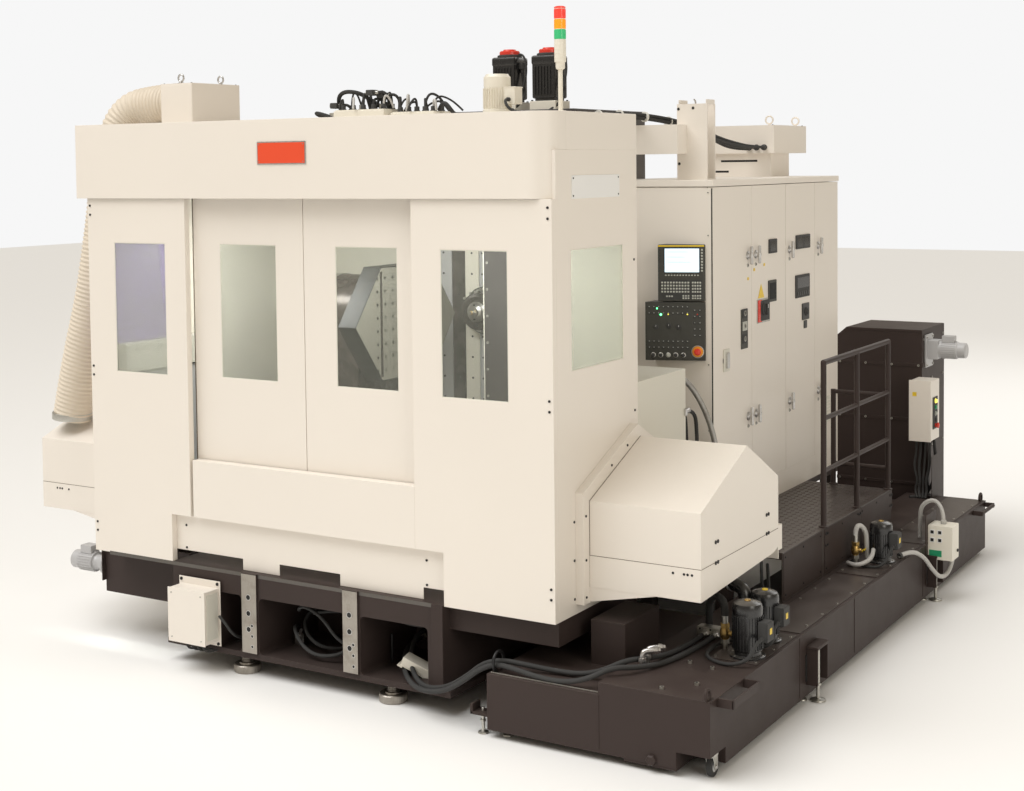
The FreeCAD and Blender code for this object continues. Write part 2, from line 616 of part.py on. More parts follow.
def handle(i, z):
    """T handle: boss, stem and cross grip."""
    y = handle_y(i)
    stem = cyl(-SHEET - 14, y, z, HANDLE_R, SHEET + 46, X_AXIS)
    grip = cyl(26, y, z - 38, 8, 76)
    return fuse(stem, grip)


SWITCH_YZ = (2695.0, 1885.0)


def main_switch():
    """Rotary main switch: dial with a bar grip."""
    y, z = SWITCH_YZ
    return fuse(cyl(SEAT, y, z, 34, 16, X_AXIS), box(SEAT + 16, SEAT + 34, y - 9, y + 9, z - 32, z + 32))


# ================================================================ operator station
TILT = math.radians(20.0)
STATION_R = (-46.0, 1905.0)
OPERATOR_W, OPERATOR_Z = 350.0, (1644.0, 1989.0)
DISPLAY_W, DISPLAY_Z = 275.0, (1993.0, 2327.0)
ALONG = V(math.cos(TILT), math.sin(TILT), 0)
NORMAL = V(math.sin(TILT), -math.cos(TILT), 0)


def station_point(left, z, out=0.0):
    """Point on the tilted face, measured left from its right edge."""
    base = V(STATION_R[0], STATION_R[1], z)
    return base - ALONG * left + NORMAL * out


def wedge(width, z0, z1):
    """Wedge housing between the tilted face and the cabinet front."""
    left = station_point(width, z0)
    right = station_point(0, z0)
    return prism([(left.x, left.y, z0), (right.x, right.y, z0), (right.x, CAB_Y0, z0), (left.x, CAB_Y0, z0)], (0, 0, z1 - z0))


ESTOP_AT = (43.0, 1697.0)
ESTOP_R, ESTOP_STEM_R, ESTOP_TRAVEL = 20.0, 12.0, 8.0
ESTOP_IN = 13.0           # length of the stem inside the housing
DIAL_AT = ((286.0, 1842.0), (211.0, 1848.0), (153.0, 1842.0))
DIAL_R = 15.0


def operator_panel():
    """Lower housing with seats for the stop button."""
    body = wedge(OPERATOR_W, *OPERATOR_Z)
    p = station_point(*ESTOP_AT, -30)
    hole = cyl(p.x, p.y, p.z, ESTOP_STEM_R + SEAT, 40, NORMAL)
    q = station_point(*ESTOP_AT, 0)
    ring = cyl(q.x, q.y, q.z, 30, 4, NORMAL)
    return fuse(body, ring).cut(hole)


def estop_button():
    """Mushroom stop button on its stem."""
    p = station_point(*ESTOP_AT, 4 + ESTOP_TRAVEL + SEAT)
    s = station_point(*ESTOP_AT, -ESTOP_IN)
    stem = cyl(s.x, s.y, s.z, ESTOP_STEM_R, ESTOP_IN + 4 + ESTOP_TRAVEL + SEAT, NORMAL)
    cap = cyl(p.x, p.y, p.z, ESTOP_R, 15, NORMAL)
    return fuse(stem, cap)


def dial(left, z):
    """Selector dial with a raised grip bar."""
    p = station_point(left, z, SEAT)
    q = station_point(left, z, SEAT + 9)
    grip = Part.makeBox(2 * DIAL_R - 6, 7, 7, V(-DIAL_R + 3, -3.5, 0))
    grip.Placement = FreeCAD.Placement(q, FreeCAD.Rotation(X_AXIS, Z_AXIS, NORMAL, "ZXY"))
    return fuse(cyl(p.x, p.y, p.z, DIAL_R, 9, NORMAL), grip)


# ================================================================ tank, pumps, platform
def coolant_tank():
    """Welded tank: long right block, low left block, riser box and rear arm."""
    right = box(TANK_X0, TANK_X1, TANK_Y0, TANK_Y1, TANK_Z0, TANK_Z1)
    left = box(TANK_LEFT_X0, TANK_X0, TANK_Y0, 1300, TANK_Z0, TANK_LEFT_Z1)
    riser = box(60, 250, 250, 640, TANK_LEFT_Z1, 545)
    rear = box(-700, TANK_X0, 4160, TANK_Y1, TANK_Z0, TANK_LEFT_Z1)
    body = fuse(right, left, riser, rear)
    notch = box(700, TANK_X1 + 1, TANK_Y0 - 1, 40, TANK_Z0 - 1, 118)
    return body.cut(notch)


CASTER = (832.0, -41.0)
CASTER_R = 46.0


def caster_fork():
    """Swivel fork of the caster in the tank's front corner."""
    x, y = CASTER
    top = cyl(x, y, 118 - SEAT - 14, 32, 14)
    cheeks = [box(x + a, x + b, y - 18, y + 32, CASTER_R - 14, 118 - SEAT - 14) for a, b in ((-21, -16), (16, 21))]
    bridge = box(x - 21, x + 21, y - 18, y + 32, 118 - SEAT - 19, 118 - SEAT - 14)
    return fuse(top, bridge, *cheeks)


def caster_wheel():
    """Caster wheel between the cheeks."""
    x, y = CASTER
    return cyl(x - 15.5, y + 8, CASTER_R, CASTER_R, 31, X_AXIS)


PUMPS = ((763.0, 564.0, 74.0, 280.0), (740.0, 850.0, 70.0, 262.0), (762.0, 2673.0, 67.0, 250.0))
MANIFOLD_Y = 770.0


def coolant_pumps():
    """Three immersion pumps with terminal boxes and the hose manifold."""
    out = []
    for x, y, r, h in PUMPS:
        foot = cyl(x, y, TANK_Z1, r + 14, 16)
        barrel = cyl(x, y, TANK_Z1 + 16, r, h - 46)
        cowl = cyl(x, y, TANK_Z1 + h - 30, r - 4, 30)
        term = box(x + r - 8, x + r + 42, y - 38, y + 38, TANK_Z1 + 90, TANK_Z1 + 190)
        out.append(fuse(foot, barrel, cowl, term))
    out.append(box(400, 560, MANIFOLD_Y, MANIFOLD_Y + 60, TANK_Z1, TANK_Z1 + 46))
    return out


def platform():
    """Walkway deck beside and under the cabinet, with skirt and legs."""
    y0, y1 = PLAT_Y[0] + 4, PLAT_Y[1]
    deck = box(0, PLAT_X1, y0, y1, PLAT_Z1 - PLAT_T, PLAT_Z1)
    under = box(CAB_X0, 0, CAB_Y0 - 300, CAB_Y1, PLAT_Z1 - PLAT_T, PLAT_Z1)
    skirt = box(PLAT_X1 - 8, PLAT_X1, y0, y1, TANK_Z1, PLAT_Z1)
    legs = [box(x - 40, x + 40, y - 40, y + 40, 0, PLAT_Z1 - PLAT_T + 1)
            for x, y in ((-560, 2200), (200, 1600), (200, 3400), (-560, 4040), (-60, 4040))]
    return fuse(deck, under.cut(over_bed()), skirt, *legs)


POST_Y = (2251.0, 2850.0, 3475.0)
END_RAIL_X = 190.0


def handrail():
    """Handrail of round tube: posts, top rail, two mid rails and the short end return."""
    x = PLAT_X1 - RAIL_R
    posts = [cyl(x, y - RAIL_R, PLAT_Z1, RAIL_R, RAIL_TOP - PLAT_Z1) for y in POST_Y]
    posts.append(cyl(END_RAIL_X, POST_Y[2] - RAIL_R, PLAT_Z1, RAIL_R, 1295 - PLAT_Z1))
    length = POST_Y[2] - POST_Y[0]
    y0, y1 = POST_Y[0] - RAIL_R, POST_Y[2] - RAIL_R
    top = fuse(cyl(x, y0, RAIL_TOP, RAIL_R, length, Y_AXIS), Part.makeSphere(RAIL_R, V(x, y0, RAIL_TOP)),
               Part.makeSphere(RAIL_R, V(x, y1, RAIL_TOP)))
    mids = [cyl(x, y0, z, RAIL_R - 3, length, Y_AXIS) for z in (990, 1300)]
    ends = [cyl(END_RAIL_X, y1, z, RAIL_R - 3, x - END_RAIL_X, X_AXIS) for z in (800, 1280)]
    return fuse(top, *posts, *mids, *ends)


# ================================================================ conveyor
def chip_conveyor():
    """Chip conveyor housing with a sloped shoulder and a discharge mouth at the rear."""
    x0, x1 = CONV_X
    y0, y1 = CONV_Y
    profile = [(x0, y0, 0), (x0, y0, CONV_Z1 - 60), (x0 + 70, y0, CONV_Z1), (x1, y0, CONV_Z1), (x1, y0, 0)]
    body = prism(profile, (0, y1 - y0, 0))
    mouth = box(x0 + 60, x1 - 60, y0 + 300, y1 + 1, 760, 1300)
    return body.cut(mouth)


def conveyor_control_box():
    """Control box of the conveyor on a post that stands on the tank."""
    body = box(377, 529, 4533, CONV_Y[0], 800, 1230)
    post = box(430, 480, 4640, 4690, TANK_Z1, 800)
    return fuse(body, post)


# ================================================================ hoses
HOSE_R = 13.0
HOSE_A = [(-1070, 519.7, 280), (-1070, 380, 280), (-1010, 215, 215), (-885, 62, 163), (-740, -48, 149), (-590, -72, 183),
          (-470, -62, 262), (-385, -57, 335), (-285, -54, 369), (-165, -22, 356), (-25, 8, 340), (120, 24, 339),
          (235, 36, 372), (330, 95, 422), (395, 215, 410), (432, 370, 394), (445, 510, 394), (449, 640, 394), (449, 769.7, 394)]
HOSE_B = [(-1120, 519.7, 215), (-1120, 380, 215), (-1050, 200, 175), (-905, 30, 148), (-745, -84, 145), (-590, -110, 172),
          (-470, -104, 246), (-380, -94, 320), (-285, -88, 359), (-165, -100, 352), (-25, -112, 337), (115, -110, 338),
          (225, -92, 368), (325, -40, 424), (405, 62, 408), (460, 205, 394), (492, 360, 394), (503, 510, 394),
          (507, 640, 394), (507, 769.7, 394)]


def held_hoses():
    """Hoses and cable bundles that the machine holds all the way."""
    wall = SHOULDER_Y1 + SEAT
    deck = PLAT_Z1 + SEAT
    routes = [
        ([(-80, wall, 1590), (-80, 1620, 1590), (-40, 1730, 1500), (20, 1800, 1330), (50, 1850, 1130), (52, 1862, 930),
          (52, 1862, deck)], 17),
        ([(-66, wall, 1400), (-66, 1630, 1400), (-66, 1690, 1290), (-66, 1690, deck)], 11),
        ([(-8, wall, 1400), (-8, 1640, 1400), (-8, 1710, 1290), (-8, 1710, deck)], 11),
        ([(-700, GUARD_D + SEAT, 3010), (-700, GUARD_D + 160, 3010), (-610, 1400, 3075), (-500, 1850, 3100), (-400, 2400, 3050),
          (-430, 2950, 2960), (-480, 3350, 2905), (-480, 3641.7, 2905)], 24),
        ([(-1640, 620, 3177.3), (-1640, 620, 3230), (-1560, 560, 3270), (-1400, 600, 3240), (-1250, 630, 3250),
          (-1180, 640, 3210), (-1180, 640, 3157.3)], 14),
        ([(-1500, 700, 3177.3), (-1500, 700, 3240), (-1380, 720, 3290), (-1200, 700, 3270), (-1090, 680, 3220),
          (-1090, 680, 3157.3)], 12),
        ([(835, 2790, TANK_Z1 + 18), (880, 2880, TANK_Z1 + 38), (930, 2985, 365), (952, 3110, 250), (960, 3260, 170), (962, 3420, 165),
          (962, 3530, 230), (960, 3560, 320), (960, 3500, 385), (960, 3420.3, 385)], 13),
        ([(950, 3350, 497.3), (950, 3350, 580), (890, 3365, 650), (800, 3380, 600), (790, 3385, 500), (790, 3385, TANK_Z1 + SEAT)], 13),
    ]
    out = []
    for index, (points, radius) in enumerate(routes):
        out.append(tube(points, radius, name="held_%d" % index))
    return out


# ================================================================ assembly
add("machine_bed", machine_bed())
add("levelling_feet", *feet())
add("column", column())
add("guide_rails", *guide_rails())
add("spindle_saddle", spindle_saddle())
add("spindle_head", spindle_head())
add("spindle", spindle())
add("table_saddle", table_saddle())
add("table_swivel", table_swivel())
add("rotary_table", rotary_table())
add("front_panels", *front_panels())
add("side_panels", *side_panels())
add("fixed_windows", *fixed_windows())
add("fascia", fascia())
add("roof_cover", *roof_cover())
add("rear_guard", *rear_guard())
add("sliding_door_left", *sliding_door(DOOR_L_X, DOOR_L_WIN))
add("sliding_door_right", *sliding_door(DOOR_R_X, DOOR_R_WIN))
add("sill_panels", sill_cover(), trim_panel())
left_hood = hood(-GUARD_W, HOOD_L_W, -1)
add("chip_hoods", hood(0, HOOD_W, 1), left_hood)
add("mist_collector", mist_collector())
add("exhaust_duct", exhaust_duct(left_hood))
add("chip_trough", chip_trough())
add("gear_motors", gear_motor(TROUGH_X0, 226, 420, -1), gear_motor(CONV_X[1], CONV_Y[0] + 150, 1420, 1))
add("service_boxes", *service_boxes())
add("roof_drives", *roof_drives())
add("signal_tower", *signal_tower())
add("rear_frame", *rear_frame())
add("cabinet_shell", cabinet_shell())
add("cabinet_plinth", cabinet_plinth())
for i in range(4):
    add("cabinet_door_%d" % (i + 1), cabinet_door(i))
    add("handle_low_%d" % (i + 1), handle(i, HANDLE_Z[0]))
    add("handle_high_%d" % (i + 1), handle(i, HANDLE_Z[1]))
add("main_switch", main_switch())
add("display_unit", wedge(DISPLAY_W, *DISPLAY_Z))
add("operator_panel", operator_panel())
add("estop_button", estop_button())
for i, (left, z) in enumerate(DIAL_AT):
    add("selector_dial_%d" % (i + 1), dial(left, z))
add("coolant_tank", coolant_tank())
add("caster_fork", caster_fork())
add("caster_wheel", caster_wheel())
add("coolant_pumps", *coolant_pumps())
add("platform", platform())
add("handrail", handrail())
add("chip_conveyor", chip_conveyor())
add("conveyor_control_box", conveyor_control_box())
add("floor_hose_a", tube(HOSE_A, HOSE_R, name="floor_hose_a"))
add("floor_hose_b", tube(HOSE_B, HOSE_R, name="floor_hose_b"))
add("held_hoses", *held_hoses())

whole = Part.makeCompound([s for shapes in NODES.values() for s in shapes]).BoundBox
shift = V(-(whole.XMin + whole.XMax) / 2, -(whole.YMin + whole.YMax) / 2, -whole.ZMin)
print("nodes", len(NODES), "size", round(whole.XLength), round(whole.YLength), round(whole.ZLength), "shift", shift)
os.makedirs("parts", exist_ok=True)
for name, shapes in NODES.items():
    moved = [s.translated(shift) for s in shapes]
    shape = moved[0] if len(moved) == 1 else Part.makeCompound(moved)
    for s in moved:
        if not s.isValid() or len(s.Solids) != 1:
            print("CHECK", name, s.isValid(), len(s.Solids), round(s.Volume))
    shape.exportStep("parts/%s.step" % name)
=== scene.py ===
"""Looks of an enclosed horizontal machining centre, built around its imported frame.

Lengths are shop millimetres: x = 0 is the right side of the guard (negative to the left),
y = 0 the guard's front and z = 0 the floor.  A piece is turned into metres, in the frame's
own place, when it is finished.
"""

import json
import logging
import math
import random
from dataclasses import dataclass
from enum import Enum
from typing import Callable, Iterable, Optional, Sequence

import bmesh
import bpy
from mathutils import Matrix, Vector


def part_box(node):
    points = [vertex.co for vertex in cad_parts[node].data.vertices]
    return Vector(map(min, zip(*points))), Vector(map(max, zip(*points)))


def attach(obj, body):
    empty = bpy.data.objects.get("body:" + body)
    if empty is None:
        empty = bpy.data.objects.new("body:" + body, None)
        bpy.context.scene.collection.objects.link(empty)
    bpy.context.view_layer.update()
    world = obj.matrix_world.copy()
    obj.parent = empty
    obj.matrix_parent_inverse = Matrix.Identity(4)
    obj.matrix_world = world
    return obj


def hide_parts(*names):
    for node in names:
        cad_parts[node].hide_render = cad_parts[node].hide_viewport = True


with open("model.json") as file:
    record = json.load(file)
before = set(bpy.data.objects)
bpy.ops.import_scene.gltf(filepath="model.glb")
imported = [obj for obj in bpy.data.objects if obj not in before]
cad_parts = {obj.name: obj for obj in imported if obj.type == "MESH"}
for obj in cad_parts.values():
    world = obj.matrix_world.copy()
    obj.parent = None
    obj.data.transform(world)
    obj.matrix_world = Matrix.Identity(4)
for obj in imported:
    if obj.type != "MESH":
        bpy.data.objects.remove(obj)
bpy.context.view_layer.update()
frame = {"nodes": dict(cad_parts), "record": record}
LOG = logging.getLogger("machining_centre")
MM = 0.001
HOME = Vector((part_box("side_panels")[1].x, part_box("front_panels")[0].y, 0.0))
ROOT = "machine_frame"
Point = Sequence[float]
RIGHT, LEFT, FRONT, UP = (1, 0, 0), (-1, 0, 0), (0, -1, 0), (0, 0, 1)
AXES = {"x": Vector(RIGHT), "y": Vector((0, 1, 0)), "z": Vector(UP)}


class Slot(str, Enum):
    """The record's material slots."""

    CREAM = "cream_paint"
    DARK = "dark_paint"
    IRON = "machined_iron"
    STEEL = "steel"
    WINDOW = "window"
    BLACK_PLASTIC = "black_plastic"
    GREY_PLASTIC = "grey_plastic"
    RED_PLASTIC = "red_plastic"
    DUCT = "duct_fabric"
    HOSE = "hose_rubber"
    MOTOR = "black_motor"
    TOWER = "tower_plastic"


@dataclass(frozen=True)
class Bounds:
    """Low and high corners in shop millimetres."""

    lo: Vector
    hi: Vector

    @classmethod
    def of(cls, node: str) -> "Bounds":
        """Bounds of a node of the frame."""
        lo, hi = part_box(node)
        return cls((lo - HOME) / MM, (hi - HOME) / MM)

    @property
    def mid(self) -> Vector:
        """Middle of the two corners."""
        return (self.lo + self.hi) / 2


# ---------------------------------------------------------------- shader groups
class Graph:
    """Short-hand for adding and joining nodes of one tree."""

    def __init__(self, tree: bpy.types.NodeTree) -> None:
        """Wrap a node tree."""
        self.tree = tree

    def add(self, kind: str, inputs: Optional[dict] = None, **settings: object) -> bpy.types.Node:
        """Add a node.

        Args:
            kind: Blender's name of the node type.
            inputs: Socket name or number to a value, or to a socket that feeds it.
            settings: Properties of the node.

        Returns:
            The new node.
        """
        node = self.tree.nodes.new(kind)
        for key, value in settings.items():
            setattr(node, key, value)
        for key, value in (inputs or {}).items():
            if isinstance(value, bpy.types.NodeSocket):
                self.tree.links.new(value, node.inputs[key])
            else:
                node.inputs[key].default_value = value
        return node

    def math(self, operation: str, first: object, second: object = 0.0) -> bpy.types.NodeSocket:
        """Result of a math node on two values or sockets."""
        return self.add("ShaderNodeMath", {0: first, 1: second}, operation=operation).outputs[0]

    def mix(self, factor: object, first: object, second: object) -> bpy.types.NodeSocket:
        """Mixed colour of two colours or sockets."""
        node = self.add("ShaderNodeMix", {0: factor, 6: first, 7: second}, data_type="RGBA")
        return node.outputs[2]

    def noise(self, vector: object, scale: float, detail: float = 2.0, rough: float = 0.5) -> bpy.types.NodeSocket:
        """Noise value at a scale per metre."""
        node = self.add("ShaderNodeTexNoise", {"Vector": vector, "Scale": scale, "Detail": detail,
                                               "Roughness": rough})
        return node.outputs["Fac"]

    def ramp(self, value: object, low: float, high: float, out_low: float = 0.0,
             out_high: float = 1.0) -> bpy.types.NodeSocket:
        """Value moved from one range to another and held inside it."""
        node = self.add("ShaderNodeMapRange", {0: value, 1: low, 2: high, 3: out_low, 4: out_high})
        return node.outputs[0]


def group_tree(name: str, inputs: dict, outputs: dict) -> tuple[Graph, bpy.types.Node, bpy.types.Node]:
    """Start a shader node group.

    Args:
        name: Name of the group.
        inputs: Socket name to (socket type, default or None).
        outputs: Socket name to socket type.

    Returns:
        The graph, its input node and its output node.
    """
    tree = bpy.data.node_groups.new(name, "ShaderNodeTree")
    for label, (kind, default) in inputs.items():
        socket = tree.interface.new_socket(name=label, in_out="INPUT", socket_type="NodeSocket" + kind)
        if default is not None:
            socket.default_value = default
    for label, kind in outputs.items():
        tree.interface.new_socket(name=label, in_out="OUTPUT", socket_type="NodeSocket" + kind)
    graph = Graph(tree)
    return graph, graph.add("NodeGroupInput"), graph.add("NodeGroupOutput")


def sheet_paint_group() -> bpy.types.NodeTree:
    """Sprayed enamel: slow colour drift, orange peel, faint panel waves and settled dust."""
    graph, given, out = group_tree(
        "sprayed_enamel",
        {"Vector": ("Vector", None), "Color": ("Color", (1, 1, 1, 1)), "Dust color": ("Color", (0.5, 0.45, 0.4, 1)),
         "Drift": ("Float", 0.04), "Dust": ("Float", 0.1), "Gloss": ("Float", 0.35), "Peel": ("Float", 0.2)},
        {"Color": "Color", "Roughness": "Float", "Normal": "Vector"})
    place = given.outputs["Vector"]
    slow = graph.noise(place, 0.9, 3.0)
    cloudy = graph.noise(place, 7.0, 4.0, 0.6)
    swing = graph.math("MULTIPLY", graph.math("SUBTRACT", slow, 0.5), given.outputs["Drift"])
    value = graph.math("ADD", 1.0, graph.math("MULTIPLY", swing, 2.0))
    tinted = graph.add("ShaderNodeHueSaturation", {"Color": given.outputs["Color"], "Value": value})
    facing = graph.add("ShaderNodeTexCoord").outputs["Normal"]
    upward = graph.add("ShaderNodeSeparateXYZ", {0: facing}).outputs["Z"]
    settled = graph.math("MULTIPLY", graph.ramp(upward, 0.3, 0.95), graph.ramp(cloudy, 0.35, 0.75))
    dust = graph.math("MULTIPLY", settled, given.outputs["Dust"])
    color = graph.mix(dust, tinted.outputs[0], given.outputs["Dust color"])
    graph.tree.links.new(color, out.inputs["Color"])
    sheen = graph.math("ADD", given.outputs["Gloss"], graph.math("MULTIPLY", cloudy, 0.12))
    rough = graph.math("ADD", sheen, graph.math("MULTIPLY", dust, 0.35))
    graph.tree.links.new(rough, out.inputs["Roughness"])
    waves = graph.add("ShaderNodeBump", {"Strength": 0.25, "Distance": 0.004,
                                         "Height": graph.noise(place, 1.7, 1.0)})
    peel = graph.add("ShaderNodeBump", {"Strength": given.outputs["Peel"], "Distance": 0.0004,
                                        "Height": graph.noise(place, 420.0, 1.0), "Normal": waves.outputs[0]})
    graph.tree.links.new(peel.outputs[0], out.inputs["Normal"])
    return graph.tree


def streak_group() -> bpy.types.NodeTree:
    """Machined or brushed metal: fine streaks along one axis, stains and a roughness that follows."""
    graph, given, out = group_tree(
        "tool_marks",
        {"Vector": ("Vector", None), "Color": ("Color", (0.6, 0.6, 0.6, 1)),
         "Stain color": ("Color", (0.2, 0.17, 0.14, 1)),
         "Stretch": ("Vector", (1, 1, 1)), "Stain": ("Float", 0.2), "Gloss": ("Float", 0.3),
         "Depth": ("Float", 0.3)},
        {"Color": "Color", "Roughness": "Float", "Normal": "Vector"})
    along = graph.add("ShaderNodeVectorMath", {0: given.outputs["Vector"], 1: given.outputs["Stretch"]},
                      operation="MULTIPLY").outputs[0]
    marks = graph.noise(along, 60.0, 3.0, 0.7)
    blot = graph.ramp(graph.noise(given.outputs["Vector"], 14.0, 5.0, 0.65), 0.48, 0.72)
    stain = graph.math("MULTIPLY", blot, given.outputs["Stain"])
    shade = graph.add("ShaderNodeHueSaturation", {"Color": given.outputs["Color"],
                                                  "Value": graph.ramp(marks, 0.2, 0.8, 0.82, 1.12)})
    graph.tree.links.new(graph.mix(stain, shade.outputs[0], given.outputs["Stain color"]), out.inputs["Color"])
    rough = graph.math("ADD", given.outputs["Gloss"], graph.math("MULTIPLY", marks, 0.18))
    graph.tree.links.new(graph.math("ADD", rough, graph.math("MULTIPLY", stain, 0.3)), out.inputs["Roughness"])
    bump = graph.add("ShaderNodeBump", {"Strength": given.outputs["Depth"], "Distance": 0.0003, "Height": marks})
    graph.tree.links.new(bump.outputs[0], out.inputs["Normal"])
    return graph.tree


def grain_group() -> bpy.types.NodeTree:
    """Moulded plastic, rubber or cast skin: pebbled grain with faint scuffs and greying."""
    graph, given, out = group_tree(
        "moulded_grain",
        {"Vector": ("Vector", None), "Color": ("Color", (0.1, 0.1, 0.1, 1)),
         "Scuff color": ("Color", (0.4, 0.4, 0.4, 1)),
         "Scale": ("Float", 900.0), "Scuff": ("Float", 0.1), "Gloss": ("Float", 0.4), "Depth": ("Float", 0.2)},
        {"Color": "Color", "Roughness": "Float", "Normal": "Vector"})
    place = given.outputs["Vector"]
    pebbles = graph.add("ShaderNodeTexVoronoi", {"Vector": place, "Scale": given.outputs["Scale"]})
    patch = graph.ramp(graph.noise(place, 22.0, 5.0, 0.7), 0.5, 0.75)
    scuff = graph.math("MULTIPLY", patch, given.outputs["Scuff"])
    graph.tree.links.new(graph.mix(scuff, given.outputs["Color"], given.outputs["Scuff color"]),
                         out.inputs["Color"])
    rough = graph.math("ADD", given.outputs["Gloss"], graph.math("MULTIPLY", patch, 0.1))
    graph.tree.links.new(rough, out.inputs["Roughness"])
    bump = graph.add("ShaderNodeBump", {"Strength": given.outputs["Depth"], "Distance": 0.0004,
                                        "Height": pebbles.outputs["Distance"]})
    graph.tree.links.new(bump.outputs[0], out.inputs["Normal"])
    return graph.tree


def shared_group(name: str, build: Callable[[], bpy.types.NodeTree]) -> bpy.types.NodeTree:
    """A shader group that is built once."""
    return bpy.data.node_groups.get(name) or build()


# ---------------------------------------------------------------- finishes
class Finish:
    """Base of the finishes: starts a material and keeps it for the next piece."""

    name: str

    def material(self) -> bpy.types.Material:
        """The finish's material, made on first use."""
        found = bpy.data.materials.get(self.name)
        if found:
            return found
        made = bpy.data.materials.new(self.name)
        made.use_nodes = True
        made.node_tree.nodes.clear()
        graph = Graph(made.node_tree)
        surface = graph.add("ShaderNodeBsdfPrincipled")
        graph.tree.links.new(surface.outputs[0], graph.add("ShaderNodeOutputMaterial").inputs[0])
        self.dress(graph, surface)
        return made

    def dress(self, graph: Graph, surface: bpy.types.Node) -> None:
        """Feed the surface's sockets."""
        raise NotImplementedError

    @staticmethod
    def feed(graph: Graph, surface: bpy.types.Node, tree: bpy.types.NodeTree, values: dict) -> None:
        """Place a shared group and join its outputs to the surface."""
        place = graph.add("ShaderNodeTexCoord").outputs["Object"]
        node = graph.add("ShaderNodeGroup", node_tree=tree)
        graph.tree.links.new(place, node.inputs["Vector"])
        for label, value in values.items():
            node.inputs[label].default_value = value
        graph.tree.links.new(node.outputs["Color"], surface.inputs["Base Color"])
        graph.tree.links.new(node.outputs["Roughness"], surface.inputs["Roughness"])
        graph.tree.links.new(node.outputs["Normal"], surface.inputs["Normal"])


@dataclass(frozen=True)
class Paint(Finish):
    """Sprayed paint on sheet metal or castings."""

    name: str
    color: tuple[float, float, float]
    gloss: float = 0.34
    coat: float = 0.15
    drift: float = 0.03
    dust: float = 0.06
    dust_color: tuple[float, float, float] = (0.52, 0.48, 0.42)
    peel: float = 0.2
    shine: float = 0.5

    def dress(self, graph: Graph, surface: bpy.types.Node) -> None:
        """Feed the surface from the enamel group."""
        self.feed(graph, surface, shared_group("sprayed_enamel", sheet_paint_group),
                  {"Color": (*self.color, 1), "Dust color": (*self.dust_color, 1), "Drift": self.drift,
                   "Dust": self.dust, "Gloss": self.gloss, "Peel": self.peel})
        surface.inputs["Specular IOR Level"].default_value = self.shine
        surface.inputs["Coat Weight"].default_value = self.coat
        surface.inputs["Coat Roughness"].default_value = 0.25


@dataclass(frozen=True)
class Metal(Finish):
    """Bare or plated metal with tool marks."""

    name: str
    color: tuple[float, float, float]
    gloss: float = 0.28
    stretch: tuple[float, float, float] = (1.0, 1.0, 12.0)
    stain: float = 0.15
    depth: float = 0.25
    metallic: float = 1.0

    def dress(self, graph: Graph, surface: bpy.types.Node) -> None:
        """Feed the surface from the tool-mark group."""
        self.feed(graph, surface, shared_group("tool_marks", streak_group),
                  {"Color": (*self.color, 1), "Stretch": self.stretch, "Stain": self.stain,
                   "Gloss": self.gloss, "Depth": self.depth})
        surface.inputs["Metallic"].default_value = self.metallic


@dataclass(frozen=True)
class Moulded(Finish):
    """Plastic, rubber or cast skin."""

    name: str
    color: tuple[float, float, float]
    gloss: float = 0.42
    scale: float = 900.0
    scuff: float = 0.06
    scuff_color: tuple[float, float, float] = (0.45, 0.44, 0.42)
    depth: float = 0.2
    glow: float = 0.0
    through: float = 0.0

    def dress(self, graph: Graph, surface: bpy.types.Node) -> None:
        """Feed the surface from the grain group, with light from inside where it is lit."""
        self.feed(graph, surface, shared_group("moulded_grain", grain_group),
                  {"Color": (*self.color, 1), "Scuff color": (*self.scuff_color, 1), "Scale": self.scale,
                   "Scuff": self.scuff, "Gloss": self.gloss, "Depth": self.depth})
        if self.glow:
            surface.inputs["Emission Color"].default_value = (*self.color, 1)
            surface.inputs["Emission Strength"].default_value = self.glow
        if self.through:
            surface.inputs["Transmission Weight"].default_value = self.through


@dataclass(frozen=True)
class Pane(Finish):
    """Thin window sheet that shows what lies behind it."""

    name: str
    color: tuple[float, float, float]
    veil: float = 0.16

    def dress(self, graph: Graph, surface: bpy.types.Node) -> None:
        """Clear sheet whose reflection grows at a low angle, with faint wipe marks."""
        place = graph.add("ShaderNodeTexCoord").outputs["Object"]
        wipe = graph.ramp(graph.noise(place, 3.0, 2.0, 0.5), 0.45, 0.8, 0.0, 0.05)
        rim = graph.add("ShaderNodeFresnel", {"IOR": 1.45}).outputs[0]
        veil = graph.math("ADD", graph.math("ADD", wipe, self.veil), graph.math("MULTIPLY", rim, 0.6))
        graph.tree.links.new(graph.ramp(veil, 0.0, 1.0), surface.inputs["Alpha"])
        surface.inputs["Base Color"].default_value = (*self.color, 1)
        graph.tree.links.new(graph.math("ADD", wipe, 0.05), surface.inputs["Roughness"])
        surface.inputs["Specular IOR Level"].default_value = 0.8


CREAM = Paint("cream_enamel", (0.84, 0.785, 0.715))
# painted shade: a darker, greyer copy of the cream enamel for cream surfaces that lie in shade
CREAM_PAINTED_SHADE = Paint("cream_enamel_painted_shade", (0.72, 0.70, 0.62), gloss=0.45, coat=0.05)
IVORY = Paint("ivory_enamel", (0.84, 0.80, 0.70), gloss=0.3)
DARK = Paint("umber_enamel", (0.048, 0.035, 0.032), gloss=0.4, coat=0.0, drift=0.12, dust=0.12,
             dust_color=(0.2, 0.17, 0.15), peel=0.4, shine=0.16)
DECK = Paint("umber_deck", (0.05, 0.038, 0.034), gloss=0.28, coat=0.1, drift=0.2, dust=0.2, shine=0.3,
             dust_color=(0.25, 0.22, 0.2), peel=0.5)
RAIL = Paint("rail_enamel", (0.05, 0.037, 0.034), gloss=0.4, coat=0.0, drift=0.08, dust=0.04, shine=0.16)
RED = Paint("red_plate", (0.83, 0.075, 0.02), gloss=0.25, coat=0.4, dust=0.0)
WHITE = Paint("white_plate", (0.86, 0.86, 0.85), gloss=0.3, dust=0.0)
